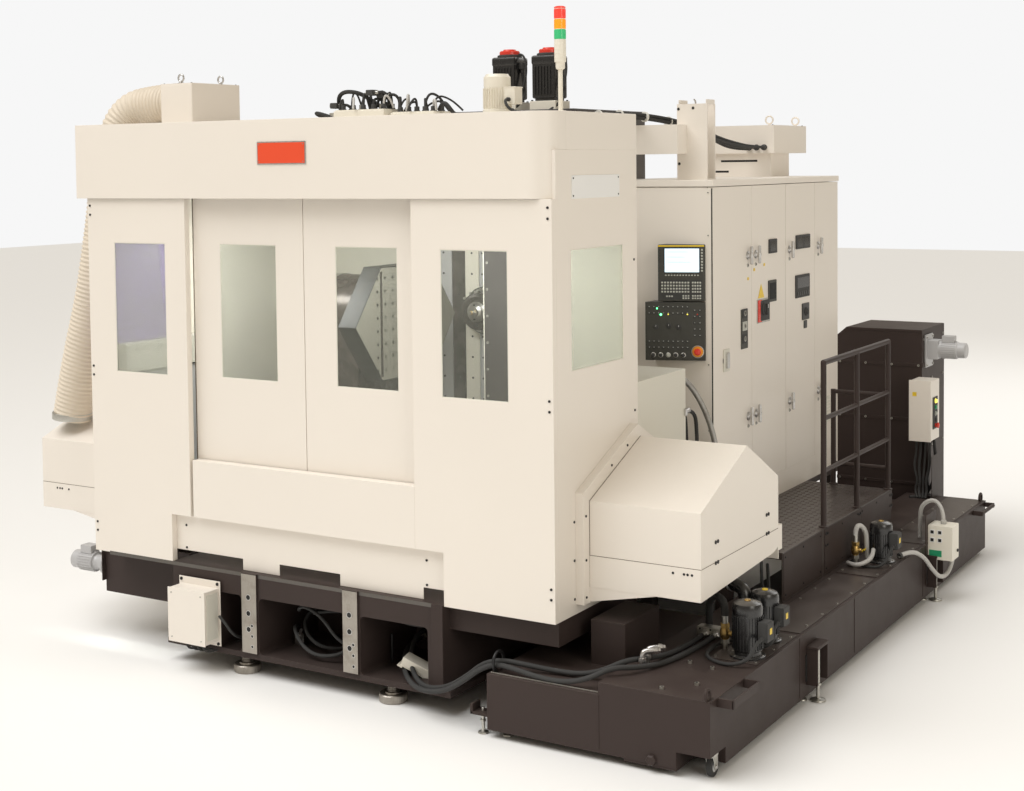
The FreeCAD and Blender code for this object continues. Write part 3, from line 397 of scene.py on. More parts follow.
GREY_PAINT = Paint("silver_grey_enamel", (0.47, 0.47, 0.48), gloss=0.3, coat=0.2)
BLACK_PAINT = Paint("black_enamel", (0.012, 0.012, 0.013), gloss=0.2, coat=0.5, dust=0.15)
MILLED = Metal("milled_steel", (0.15, 0.14, 0.13), gloss=0.3, stretch=(6.0, 1.0, 0.25), stain=0.35)
STEEL = Metal("bright_steel", (0.62, 0.61, 0.6), gloss=0.2, stain=0.08)
ZINC = Metal("zinc_plate", (0.58, 0.57, 0.53), gloss=0.32, stretch=(2.0, 2.0, 2.0), stain=0.2)
BLACK_OXIDE = Metal("black_oxide", (0.03, 0.03, 0.032), gloss=0.35, stain=0.1, metallic=0.7)
BRASS = Metal("brass", (0.56, 0.38, 0.14), gloss=0.28, stain=0.25)
PAD_STEEL = Metal("pad_steel", (0.42, 0.39, 0.35), gloss=0.34, stretch=(9.0, 9.0, 0.4), stain=0.35, depth=0.6)
GRAPHITE = Metal("face_plate_iron", (0.30, 0.29, 0.25), gloss=0.42, stretch=(1.0, 6.0, 6.0), stain=0.25,
                 metallic=0.2)
DRUM = Metal("dark_drum", (0.045, 0.034, 0.03), gloss=0.18, stain=0.25, metallic=0.4)
BRAID = Metal("braided_steel", (0.46, 0.45, 0.43), gloss=0.4, stretch=(30.0, 30.0, 30.0), stain=0.5, depth=0.9,
              metallic=0.8)
GOLD = Metal("nitride_gold", (0.72, 0.5, 0.16), gloss=0.2, stain=0.05)
BLACK = Moulded("black_plastic", (0.012, 0.012, 0.012), gloss=0.5, scuff=0.03)
# painted shadow: dark brown lines for the shadow gaps at panel joints and along the left door's edge
SEAM_PAINTED_SHADOW = Moulded("panel_seam_painted_shadow", (0.17, 0.135, 0.1), gloss=0.7)
MATT_BLACK = Moulded("matt_black", (0.008, 0.008, 0.008), gloss=0.7)
RUBBER = Moulded("hose_rubber", (0.02, 0.02, 0.021), gloss=0.36, scale=600.0, scuff=0.12)
GREY = Moulded("station_grey", (0.05, 0.05, 0.043), gloss=0.5, scuff=0.03)
KEY_WHITE = Moulded("key_white", (0.5, 0.51, 0.46), gloss=0.45)
KEY_DARK = Moulded("key_dark", (0.035, 0.036, 0.035), gloss=0.4)
YELLOW = Moulded("yellow_plastic", (0.85, 0.6, 0.03), gloss=0.35)
ORANGE = Moulded("orange_ring", (0.9, 0.33, 0.02), gloss=0.3)
STOP_RED = Moulded("stop_red", (0.75, 0.05, 0.03), gloss=0.25)
GREEN = Moulded("green_plastic", (0.02, 0.3, 0.14), gloss=0.3)
LENS_RED = Moulded("lens_red", (0.85, 0.07, 0.05), gloss=0.15, glow=0.25)
LENS_AMBER = Moulded("lens_amber", (0.95, 0.36, 0.02), gloss=0.15, glow=0.25)
LENS_GREEN = Moulded("lens_green", (0.05, 0.5, 0.2), gloss=0.15, glow=0.2)
LAMP_GREEN = Moulded("lamp_green", (0.1, 0.9, 0.25), gloss=0.2, glow=6.0)
LAMP_YELLOW = Moulded("lamp_yellow", (0.95, 0.8, 0.1), gloss=0.2, glow=1.5)
SCREEN = Moulded("screen_glow", (0.62, 0.78, 0.9), gloss=0.12, glow=0.85, scuff=0.0, depth=0.0)
SCREEN_DARK = Moulded("screen_blank", (0.006, 0.006, 0.007), gloss=0.12, depth=0.0)
TIE = Moulded("cable_tie", (0.78, 0.77, 0.72), gloss=0.4)
PVC = Moulded("grey_conduit", (0.52, 0.51, 0.49), gloss=0.35, scale=400.0)
SLIDE = Paint("slide_enamel", (0.045, 0.04, 0.042), gloss=0.25, dust=0.0)
DUCT = Moulded("duct_cloth", (0.72, 0.64, 0.53), gloss=0.6, scale=260.0, scuff=0.1, depth=0.5)
GLASS = Pane("guard_glass", (0.60, 0.62, 0.55), veil=0.07)
TINTED = Pane("tinted_glass", (0.33, 0.24, 0.60), veil=0.84)
FLOOR = Paint("studio_floor", (0.9, 0.9, 0.895), gloss=0.6, coat=0.0, drift=0.0, dust=0.0, peel=0.05)


# ---------------------------------------------------------------- geometry recipes
class Recipe:
    """Geometry node tree with named inputs; it ends in realised geometry with its material set."""

    def __init__(self, name: str, inputs: dict) -> None:
        """Start the tree.

        Args:
            name: Name of the tree.
            inputs: Socket name to (socket type, default or None).
        """
        self.tree = bpy.data.node_groups.new(name, "GeometryNodeTree")
        self.keys: dict[str, str] = {}
        self.tree.interface.new_socket(name="Geometry", in_out="INPUT", socket_type="NodeSocketGeometry")
        for label, (kind, default) in inputs.items():
            socket = self.tree.interface.new_socket(name=label, in_out="INPUT", socket_type="NodeSocket" + kind)
            if default is not None:
                socket.default_value = default
            self.keys[label] = socket.identifier
        self.tree.interface.new_socket(name="Geometry", in_out="OUTPUT", socket_type="NodeSocketGeometry")
        self.graph = Graph(self.tree)
        self.given = self.graph.add("NodeGroupInput")

    def value(self, label: str) -> bpy.types.NodeSocket:
        """Socket of a named input."""
        return self.given.outputs[label]

    def dressed(self, geometry: bpy.types.NodeSocket, material: bpy.types.NodeSocket) -> bpy.types.NodeSocket:
        """Realised geometry with a material."""
        real = self.graph.add("GeometryNodeRealizeInstances", {"Geometry": geometry}).outputs[0]
        return self.graph.add("GeometryNodeSetMaterial", {"Geometry": real, "Material": material}).outputs[0]

    def close(self, *parts: bpy.types.NodeSocket) -> None:
        """Join the parts into the tree's output."""
        out = self.graph.add("NodeGroupOutput")
        if len(parts) == 1:
            self.tree.links.new(parts[0], out.inputs[0])
            return
        join = self.graph.add("GeometryNodeJoinGeometry")
        for part in parts:
            self.tree.links.new(part, join.inputs[0])
        self.tree.links.new(join.outputs[0], out.inputs[0])

    def grow(self, data: bpy.types.ID, values: dict) -> bpy.types.Mesh:
        """Run the tree on a mesh or curve.

        Args:
            data: Mesh or curve that goes in.
            values: Named inputs of this run.

        Returns:
            The resulting mesh.
        """
        carrier = bpy.data.objects.new("carrier", data)
        bpy.context.scene.collection.objects.link(carrier)
        modifier = carrier.modifiers.new("recipe", "NODES")
        modifier.node_group = self.tree
        for label, value in values.items():
            modifier[self.keys[label]] = value
        graph = bpy.context.evaluated_depsgraph_get()
        mesh = bpy.data.meshes.new_from_object(carrier.evaluated_get(graph), depsgraph=graph)
        bpy.data.objects.remove(carrier)
        return mesh


def screw_recipe() -> Recipe:
    """Socket-head screws on points that carry a facing direction."""
    recipe = Recipe("socket_screws", {"Head radius": ("Float", 6.0), "Head height": ("Float", 4.0),
                                      "Head": ("Material", None), "Recess": ("Material", None)})
    graph = recipe.graph
    facing = graph.add("GeometryNodeInputNamedAttribute", {"Name": "facing"}, data_type="FLOAT_VECTOR").outputs[0]
    turn = graph.add("FunctionNodeAlignRotationToVector", {"Vector": facing}, axis="Z").outputs[0]
    parts = []
    for share, lift, sides, label in ((1.0, 0.5, 14, "Head"), (0.5, 1.02, 6, "Recess")):
        radius = graph.math("MULTIPLY", recipe.value("Head radius"), share)
        depth = graph.math("MULTIPLY", recipe.value("Head height"), 1.0 if share == 1.0 else 0.1)
        solid = graph.add("GeometryNodeMeshCylinder", {"Vertices": sides, "Radius": radius, "Depth": depth})
        up = graph.math("MULTIPLY", recipe.value("Head height"), lift)
        move = graph.add("ShaderNodeCombineXYZ", {"Z": up}).outputs[0]
        seated = graph.add("GeometryNodeTransform", {"Geometry": solid.outputs[0], "Translation": move}).outputs[0]
        placed = graph.add("GeometryNodeInstanceOnPoints", {"Points": recipe.value("Geometry"), "Instance": seated,
                                                            "Rotation": turn}).outputs[0]
        parts.append(recipe.dressed(placed, recipe.value(label)))
    recipe.close(*parts)
    return recipe


def grid_recipe() -> Recipe:
    """A shape repeated in columns and rows around the origin; odd rows can be turned and shifted."""
    recipe = Recipe("repeat_on_grid", {"Columns": ("Int", 3), "Rows": ("Int", 3), "Pitch X": ("Float", 10.0),
                                       "Pitch Y": ("Float", 10.0), "Row shift": ("Float", 0.0),
                                       "Turn": ("Float", 0.0), "Finish": ("Material", None)})
    graph = recipe.graph
    count = graph.math("MULTIPLY", recipe.value("Columns"), recipe.value("Rows"))
    line = graph.add("GeometryNodeMeshLine", {"Count": count})
    index = graph.add("GeometryNodeInputIndex").outputs[0]
    row = graph.math("FLOOR", graph.math("DIVIDE", graph.math("ADD", index, 0.5), recipe.value("Columns")))
    column = graph.math("SUBTRACT", index, graph.math("MULTIPLY", row, recipe.value("Columns")))
    odd = graph.math("MODULO", row, 2.0)
    half_x = graph.math("MULTIPLY", graph.math("SUBTRACT", recipe.value("Columns"), 1.0), 0.5)
    half_y = graph.math("MULTIPLY", graph.math("SUBTRACT", recipe.value("Rows"), 1.0), 0.5)
    across = graph.math("MULTIPLY", graph.math("SUBTRACT", column, half_x), recipe.value("Pitch X"))
    across = graph.math("ADD", across, graph.math("MULTIPLY", odd, recipe.value("Row shift")))
    up = graph.math("MULTIPLY", graph.math("SUBTRACT", row, half_y), recipe.value("Pitch Y"))
    spot = graph.add("ShaderNodeCombineXYZ", {"X": across, "Y": up}).outputs[0]
    points = graph.add("GeometryNodeSetPosition", {"Geometry": line.outputs[0], "Position": spot}).outputs[0]
    checker = graph.math("MODULO", graph.math("ADD", row, column), 2.0)
    angle = graph.add("ShaderNodeCombineXYZ", {"Z": graph.math("MULTIPLY", checker,
                                                               recipe.value("Turn"))}).outputs[0]
    placed = graph.add("GeometryNodeInstanceOnPoints", {"Points": points, "Instance": recipe.value("Geometry"),
                                                        "Rotation": angle}).outputs[0]
    recipe.close(recipe.dressed(placed, recipe.value("Finish")))
    return recipe


def circle_recipe() -> Recipe:
    """A shape repeated around the Z axis."""
    recipe = Recipe("repeat_on_circle", {"Count": ("Int", 8), "Radius": ("Float", 10.0),
                                         "Finish": ("Material", None)})
    graph = recipe.graph
    line = graph.add("GeometryNodeMeshLine", {"Count": recipe.value("Count")}).outputs[0]
    index = graph.add("GeometryNodeInputIndex").outputs[0]
    angle = graph.math("DIVIDE", graph.math("MULTIPLY", index, math.tau), recipe.value("Count"))
    east = graph.math("MULTIPLY", graph.math("COSINE", angle), recipe.value("Radius"))
    north = graph.math("MULTIPLY", graph.math("SINE", angle), recipe.value("Radius"))
    spot = graph.add("ShaderNodeCombineXYZ", {"X": east, "Y": north}).outputs[0]
    points = graph.add("GeometryNodeSetPosition", {"Geometry": line, "Position": spot}).outputs[0]
    turn = graph.add("ShaderNodeCombineXYZ", {"Z": angle}).outputs[0]
    placed = graph.add("GeometryNodeInstanceOnPoints", {"Points": points, "Instance": recipe.value("Geometry"),
                                                        "Rotation": turn}).outputs[0]
    recipe.close(recipe.dressed(placed, recipe.value("Finish")))
    return recipe


def duct_recipe() -> Recipe:
    """Ribbed flexible duct along a curve."""
    recipe = Recipe("ribbed_duct", {"Radius": ("Float", 120.0), "Pitch": ("Float", 28.0), "Rib": ("Float", 4.0),
                                    "Finish": ("Material", None)})
    graph = recipe.graph
    step = graph.math("DIVIDE", recipe.value("Pitch"), 6.0)
    line = graph.add("GeometryNodeResampleCurve", {"Curve": recipe.value("Geometry"), "Length": step},
                     mode="LENGTH").outputs[0]
    along = graph.add("GeometryNodeSplineParameter").outputs["Length"]
    phase = graph.math("DIVIDE", graph.math("MULTIPLY", along, math.tau), recipe.value("Pitch"))
    swell = graph.math("MULTIPLY", graph.math("SINE", phase), recipe.value("Rib"))
    radius = graph.math("ADD", recipe.value("Radius"), swell)
    shaped = graph.add("GeometryNodeSetCurveRadius", {"Curve": line, "Radius": radius}).outputs[0]
    section = graph.add("GeometryNodeCurvePrimitiveCircle", {"Resolution": 40, "Radius": 1.0}).outputs[0]
    skin = graph.add("GeometryNodeCurveToMesh", {"Curve": shaped, "Profile Curve": section, "Fill Caps": True})
    if "Scale" in skin.inputs:
        size = graph.add("GeometryNodeInputRadius").outputs[0]
        graph.tree.links.new(size, skin.inputs["Scale"])
    smooth = graph.add("GeometryNodeSetShadeSmooth", {"Geometry": skin.outputs[0]}).outputs[0]
    recipe.close(recipe.dressed(smooth, recipe.value("Finish")))
    return recipe


class RecipeBook:
    """The geometry recipes, each built on first use."""

    builders = {"screws": screw_recipe, "grid": grid_recipe, "circle": circle_recipe, "duct": duct_recipe}
    ready: dict[str, Recipe] = {}

    @classmethod
    def get(cls, name: str) -> Recipe:
        """A recipe by its short name."""
        if name not in cls.ready:
            cls.ready[name] = cls.builders[name]()
        return cls.ready[name]


# ---------------------------------------------------------------- stock: shapes to pieces
def nurbs(points: Iterable[Point], radius: float = 0.0, closed_ends: bool = True,
          resolution: int = 10) -> bpy.types.Curve:
    """Smooth curve with the points as its control points.

    Args:
        points: Control points.
        radius: Bevel radius, or 0 for a bare line.
        closed_ends: Whether the tube's ends are capped.
        resolution: Steps between control points.

    Returns:
        The curve data.
    """
    curve = bpy.data.curves.new("line", "CURVE")
    curve.dimensions = "3D"
    curve.resolution_u = resolution
    route = list(points)
    spline = curve.splines.new("NURBS")
    spline.points.add(len(route) - 1)
    for item, point in zip(spline.points, route):
        item.co = (*point, 1.0)
    spline.order_u = 3
    spline.use_endpoint_u = True
    curve.bevel_depth = radius
    curve.bevel_resolution = 4
    curve.use_fill_caps = closed_ends
    return curve


def at(spot: Point) -> Matrix:
    """Matrix that moves to a spot."""
    return Matrix.Translation(spot)


def turned(axis: Vector) -> Matrix:
    """Rotation that brings Z onto an axis."""
    return Vector(UP).rotation_difference(Vector(axis).normalized()).to_matrix().to_4x4()


class Stock:
    """Gathers shapes in shop millimetres and finishes them as one piece."""

    def __init__(self, name: str, turn: Optional[Matrix] = None) -> None:
        """Start a piece.

        Args:
            name: Name of the piece.
            turn: Placement of every shape, for work in tilted axes.
        """
        self.name = name
        self.turn = turn or Matrix.Identity(4)
        self.mesh = bmesh.new()
        self.materials: list[bpy.types.Material] = []

    def slot_of(self, material: bpy.types.Material) -> int:
        """Index of a material in this piece."""
        if material not in self.materials:
            self.materials.append(material)
        return self.materials.index(material)

    def take(self, part: bmesh.types.BMesh, finish: Finish, turn: Optional[Matrix] = None) -> None:
        """Add a shape and free it."""
        index = self.slot_of(finish.material())
        for face in part.faces:
            face.material_index = index
        bmesh.ops.transform(part, matrix=self.turn @ (turn or Matrix.Identity(4)), verts=part.verts)
        scrap = bpy.data.meshes.new("scrap")
        part.to_mesh(scrap)
        part.free()
        self.mesh.from_mesh(scrap)
        bpy.data.meshes.remove(scrap)

    def take_mesh(self, mesh: bpy.types.Mesh, finish: Optional[Finish] = None,
                  turn: Optional[Matrix] = None) -> None:
        """Add a finished mesh with its own materials, or with one finish, and remove it."""
        slots = [self.slot_of(m) for m in mesh.materials] if finish is None else [self.slot_of(finish.material())]
        if len(slots) == 1:
            mesh.polygons.foreach_set("material_index", [slots[0]] * len(mesh.polygons))
        else:
            for face in mesh.polygons:
                face.material_index = slots[face.material_index]
        mesh.transform(self.turn @ (turn or Matrix.Identity(4)))
        self.mesh.from_mesh(mesh)
        bpy.data.meshes.remove(mesh)

    def box(self, lo: Point, hi: Point, finish: Finish, bevel: float = 1.5, turn: Optional[Matrix] = None,
            steps: int = 2) -> None:
        """Block between two corners with rounded edges."""
        part = bmesh.new()
        size = [max(b - a, 0.01) for a, b in zip(lo, hi)]
        middle = [(a + b) / 2 for a, b in zip(lo, hi)]
        shape = at(middle) @ Matrix.Diagonal((*size, 1.0))
        bmesh.ops.create_cube(part, size=1.0, matrix=shape)
        width = min(bevel, 0.45 * min(size))
        bmesh.ops.bevel(part, geom=part.edges[:], offset=width, segments=steps, profile=0.5, affect="EDGES")
        self.take(part, finish, turn)

    def prism(self, outline: Sequence[Sequence[float]], axis: str, low: float, high: float, finish: Finish,
              bevel: float = 1.5) -> None:
        """Polygon in the plane across an axis, drawn out along it.

        Args:
            outline: Corners as the two other coordinates, in x, y, z order.
            axis: Letter of the axis.
            low: Start along the axis.
            high: End along the axis.
            finish: Finish of the shape.
            bevel: Rounding of its edges.
        """
        part = bmesh.new()
        slot = "xyz".index(axis)
        def corner(pair: Sequence[float], level: float) -> list[float]:
            spot = list(pair)
            spot.insert(slot, level)
            return spot
        base = part.faces.new([part.verts.new(corner(pair, low)) for pair in outline])
        made = bmesh.ops.extrude_face_region(part, geom=[base])
        moved = [v for v in made["geom"] if isinstance(v, bmesh.types.BMVert)]
        bmesh.ops.translate(part, vec=AXES[axis] * (high - low), verts=moved)
        bmesh.ops.recalc_face_normals(part, faces=part.faces)
        if bevel:
            sharp = [e for e in part.edges if e.calc_face_angle(0.0) > 0.3]
            bmesh.ops.bevel(part, geom=sharp, offset=bevel, segments=2, profile=0.5, affect="EDGES")
        self.take(part, finish)

    def lathe(self, base: Point, axis: Point, outline: Sequence[tuple[float, float]], finish: Finish,
              segments: int = 28) -> None:
        """Turned shape.

        Args:
            base: Point on the axis where heights start.
            axis: Direction of the axis.
            outline: (radius, height) pairs from one end to the other.
            finish: Finish of the shape.
            segments: Steps around the axis.
        """
        part = bmesh.new()
        rings = []
        for radius, height in outline:
            if radius < 1e-4:
                rings.append([part.verts.new((0, 0, height))])
                continue
            rings.append([part.verts.new((radius * math.cos(math.tau * i / segments),
                                          radius * math.sin(math.tau * i / segments), height))
                          for i in range(segments)])
        for low, high in zip(rings, rings[1:]):
            for i in range(segments):
                j = (i + 1) % segments
                corners = [low[i % len(low)], low[j % len(low)], high[j % len(high)], high[i % len(high)]]
                unique = list(dict.fromkeys(corners))
                if len(unique) > 2:
                    part.faces.new(unique)
        for end in (rings[0], rings[-1]):
            if len(end) > 2:
                part.faces.new(end)
        bmesh.ops.recalc_face_normals(part, faces=part.faces)
        self.take(part, finish, at(Vector(base)) @ turned(axis))

    def rod(self, start: Point, end: Point, radius: float, finish: Finish, chamfer: float = 1.0,
            segments: int = 24) -> None:
        """Round bar with chamfered ends."""
        a, b = Vector(start), Vector(end)
        length = (b - a).length
        c = min(chamfer, radius * 0.4, length * 0.4)
        outline = [(radius - c, 0.0), (radius, c), (radius, length - c), (radius - c, length)]
        self.lathe(a, b - a, outline, finish, segments)

    def dome(self, base: Point, axis: Point, radius: float, height: float, finish: Finish,
             segments: int = 24) -> None:
        """Low dome with a closed foot."""
        steps = [(radius * math.cos(k * math.pi / 12), height * math.sin(k * math.pi / 12)) for k in range(7)]
        self.lathe(base, axis, steps, finish, segments)

    def ring(self, middle: Point, axis: Point, major: float, minor: float, finish: Finish, sweep: float = 360.0,
             start: float = 0.0) -> None:
        """Ring or bow of round bar; an open bow is capped."""
        steps = max(8, int(sweep / 12))
        closed = sweep >= 360.0
        places = [math.radians(start + sweep * k / steps) for k in range(steps if closed else steps + 1)]
        line = [Vector((major * math.cos(a), major * math.sin(a), 0)) for a in places]
        self.sweep(line, minor, finish, at(Vector(middle)) @ turned(axis), closed)

    def sweep(self, line: Sequence[Vector], radius: float, finish: Finish, turn: Optional[Matrix] = None,
              closed: bool = False, segments: int = 10) -> None:
        """Round bar along a polyline, with rings square to it."""
        part = bmesh.new()
        count = len(line)
        rings = []
        side = None
        for k, spot in enumerate(line):
            before = line[(k - 1) % count] if closed or k else spot
            after = line[(k + 1) % count] if closed or k < count - 1 else spot
            ahead = (after - before).normalized()
            if side is None:
                side = ahead.orthogonal().normalized()
            side = (side - ahead * side.dot(ahead)).normalized()
            other = ahead.cross(side)
            rings.append([part.verts.new(spot + (side * math.cos(math.tau * i / segments)
                                                 + other * math.sin(math.tau * i / segments)) * radius)
                          for i in range(segments)])
        pairs = list(zip(rings, rings[1:])) + ([(rings[-1], rings[0])] if closed else [])
        for low, high in pairs:
            for i in range(segments):
                j = (i + 1) % segments
                part.faces.new((low[i], low[j], high[j], high[i]))
        if not closed:
            part.faces.new(rings[0])
            part.faces.new(rings[-1])
        bmesh.ops.recalc_face_normals(part, faces=part.faces)
        self.take(part, finish, turn)

    def strand(self, points: Iterable[Point], radius: float, finish: Finish, resolution: int = 8) -> None:
        """Cable or hose that the machine holds, smooth through its run of points."""
        curve = nurbs(points, radius, resolution=resolution)
        carrier = bpy.data.objects.new("strand", curve)
        bpy.context.scene.collection.objects.link(carrier)
        graph = bpy.context.evaluated_depsgraph_get()
        mesh = bpy.data.meshes.new_from_object(carrier.evaluated_get(graph), depsgraph=graph)
        bpy.data.objects.remove(carrier)
        mesh.materials.clear()
        self.take_mesh(mesh, finish)

    def screws(self, spots: Iterable[tuple[Point, Point]], radius: float = 6.0, height: float = 4.0,
               head: Optional[Finish] = None) -> None:
        """Socket-head screws at (point, facing) pairs."""
        places = list(spots)
        mesh = bpy.data.meshes.new("spots")
        mesh.from_pydata([tuple(p) for p, _ in places], [], [])
        facing = mesh.attributes.new("facing", "FLOAT_VECTOR", "POINT")
        for item, (_, way) in zip(facing.data, places):
            item.vector = way
        values = {"Head radius": radius, "Head height": height, "Head": (head or BLACK_OXIDE).material(),
                  "Recess": MATT_BLACK.material()}
        self.take_mesh(RecipeBook.get("screws").grow(mesh, values))

    def repeat(self, shape: "Stock", finish: Finish, turn: Matrix, columns: int, rows: int, pitch_x: float,
               pitch_y: float, row_shift: float = 0.0, swing: float = 0.0) -> None:
        """Repeat a small shape, drawn round the origin, in columns and rows."""
        values = {"Columns": columns, "Rows": rows, "Pitch X": float(pitch_x), "Pitch Y": float(pitch_y),
                  "Row shift": float(row_shift), "Turn": float(swing), "Finish": finish.material()}
        self.take_mesh(RecipeBook.get("grid").grow(shape.as_mesh(), values), turn=turn)

    def circle(self, shape: "Stock", finish: Finish, turn: Matrix, count: int, radius: float) -> None:
        """Repeat a small shape, drawn round the origin, around an axis."""
        values = {"Count": count, "Radius": float(radius), "Finish": finish.material()}
        self.take_mesh(RecipeBook.get("circle").grow(shape.as_mesh(), values), turn=turn)

    def fins(self, lo: Point, hi: Point, finish: Finish, bevel: float, turn: Matrix, count: int,
             radius: float) -> None:
        """Ring of small blocks around an axis, each drawn round the origin."""
        block = Stock("block")
        block.box(lo, hi, finish, bevel, steps=1)
        self.circle(block, finish, turn, count, radius)

    def as_mesh(self) -> bpy.types.Mesh:
        """The gathered shapes as a mesh, still in millimetres."""
        mesh = bpy.data.meshes.new(self.name)
        self.mesh.to_mesh(mesh)
        self.mesh.free()
        for material in self.materials:
            mesh.materials.append(material)
        return mesh

    def finish(self, slot: Slot, body: str = ROOT, replaces: Sequence[str] = (),
               smooth: float = 38.0) -> bpy.types.Object:
        """Turn the shapes into a piece of the model.

        Args:
            slot: Material slot of the record; not used.
            body: Body that the piece rides on.
            replaces: Nodes that it stands for.
            smooth: Angle in degrees up to which faces are shaded as one.

        Returns:
            The piece's object.
        """
        mesh = self.as_mesh()
        mesh.transform(at(HOME) @ Matrix.Scale(MM, 4))
        return publish(self.name, mesh, slot, body, replaces, smooth)


def publish(name: str, mesh: bpy.types.Mesh, slot: Slot, body: str, replaces: Sequence[str],
            smooth: float = 38.0) -> bpy.types.Object:
    """Make a piece from a mesh in metres: shading, riding and what it replaces."""
    mesh.polygons.foreach_set("use_smooth", [True] * len(mesh.polygons))
    mesh.set_sharp_from_angle(angle=math.radians(smooth))
    raw = bpy.data.objects.new(name + "_raw", mesh)
    bpy.context.scene.collection.objects.link(raw)
    shade = raw.modifiers.new("even", "WEIGHTED_NORMAL")
    shade.keep_sharp = True
    graph = bpy.context.evaluated_depsgraph_get()
    final = bpy.data.meshes.new_from_object(raw.evaluated_get(graph), depsgraph=graph)
    bpy.data.objects.remove(raw)
    final.name = name
    piece = bpy.data.objects.new(name, final)
    bpy.context.scene.collection.objects.link(piece)
    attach(piece, body)
    if replaces:
        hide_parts(*replaces)
    LOG.info("%s on %s: %d faces", name, body, len(final.polygons))
    return piece


def body_of_node(node: str) -> str:
    """Body that a node of the frame belongs to."""
    for body, members in frame["record"]["behaviour"]["bodies"].items():
        if node in members:
            return body
    raise KeyError(node)


def skin(node: str, choose: Callable[[Vector, Vector], Finish], slot: Slot, bevel: float = 1.8) -> bpy.types.Object:
    """Replace a node by its own shape with soft edges and real finishes.

    Args:
        node: Node of the frame.
        choose: Gives the finish of a loose part from its low and high corners in millimetres.
        slot: Material slot of the record; not used.
        bevel: Width of the edge rounding in millimetres.

    Returns:
        The piece.
    """
    part = bmesh.new()
    part.from_mesh(frame["nodes"][node].data)
    bmesh.ops.remove_doubles(part, verts=part.verts, dist=2e-5)
    bmesh.ops.dissolve_limit(part, angle_limit=math.radians(0.4), verts=part.verts, edges=part.edges)
    bmesh.ops.recalc_face_normals(part, faces=part.faces)
    materials: list[bpy.types.Material] = []
    waiting = set(part.faces)
    while waiting:
        island, edge = [], [waiting.pop()]
        while edge:
            face = edge.pop()
            island.append(face)
            near = {other for e in face.edges for other in e.link_faces if other in waiting}
            waiting -= near
            edge.extend(near)
        spots = [(v.co - HOME) / MM for face in island for v in face.verts]
        lo = Vector([min(s[k] for s in spots) for k in range(3)])
        hi = Vector([max(s[k] for s in spots) for k in range(3)])
        material = choose(lo, hi).material()
        if material not in materials:
            materials.append(material)
        for face in island:
            face.material_index = materials.index(material)
    sharp = [e for e in part.edges if e.is_manifold and e.calc_face_angle(0.0) > math.radians(28)]
    if bevel:
        bmesh.ops.bevel(part, geom=sharp, offset=bevel * MM, segments=2, profile=0.5, affect="EDGES",
                        clamp_overlap=True)
    mesh = bpy.data.meshes.new(node + "_skin")
    part.to_mesh(mesh)
    part.free()
    for material in materials:
        mesh.materials.append(material)
    return publish(node + "_skin", mesh, slot, body_of_node(node), (node,))


def plain(finish: Finish) -> Callable[[Vector, Vector], Finish]:
    """Chooser that gives every loose part one finish."""
    return lambda lo, hi: finish


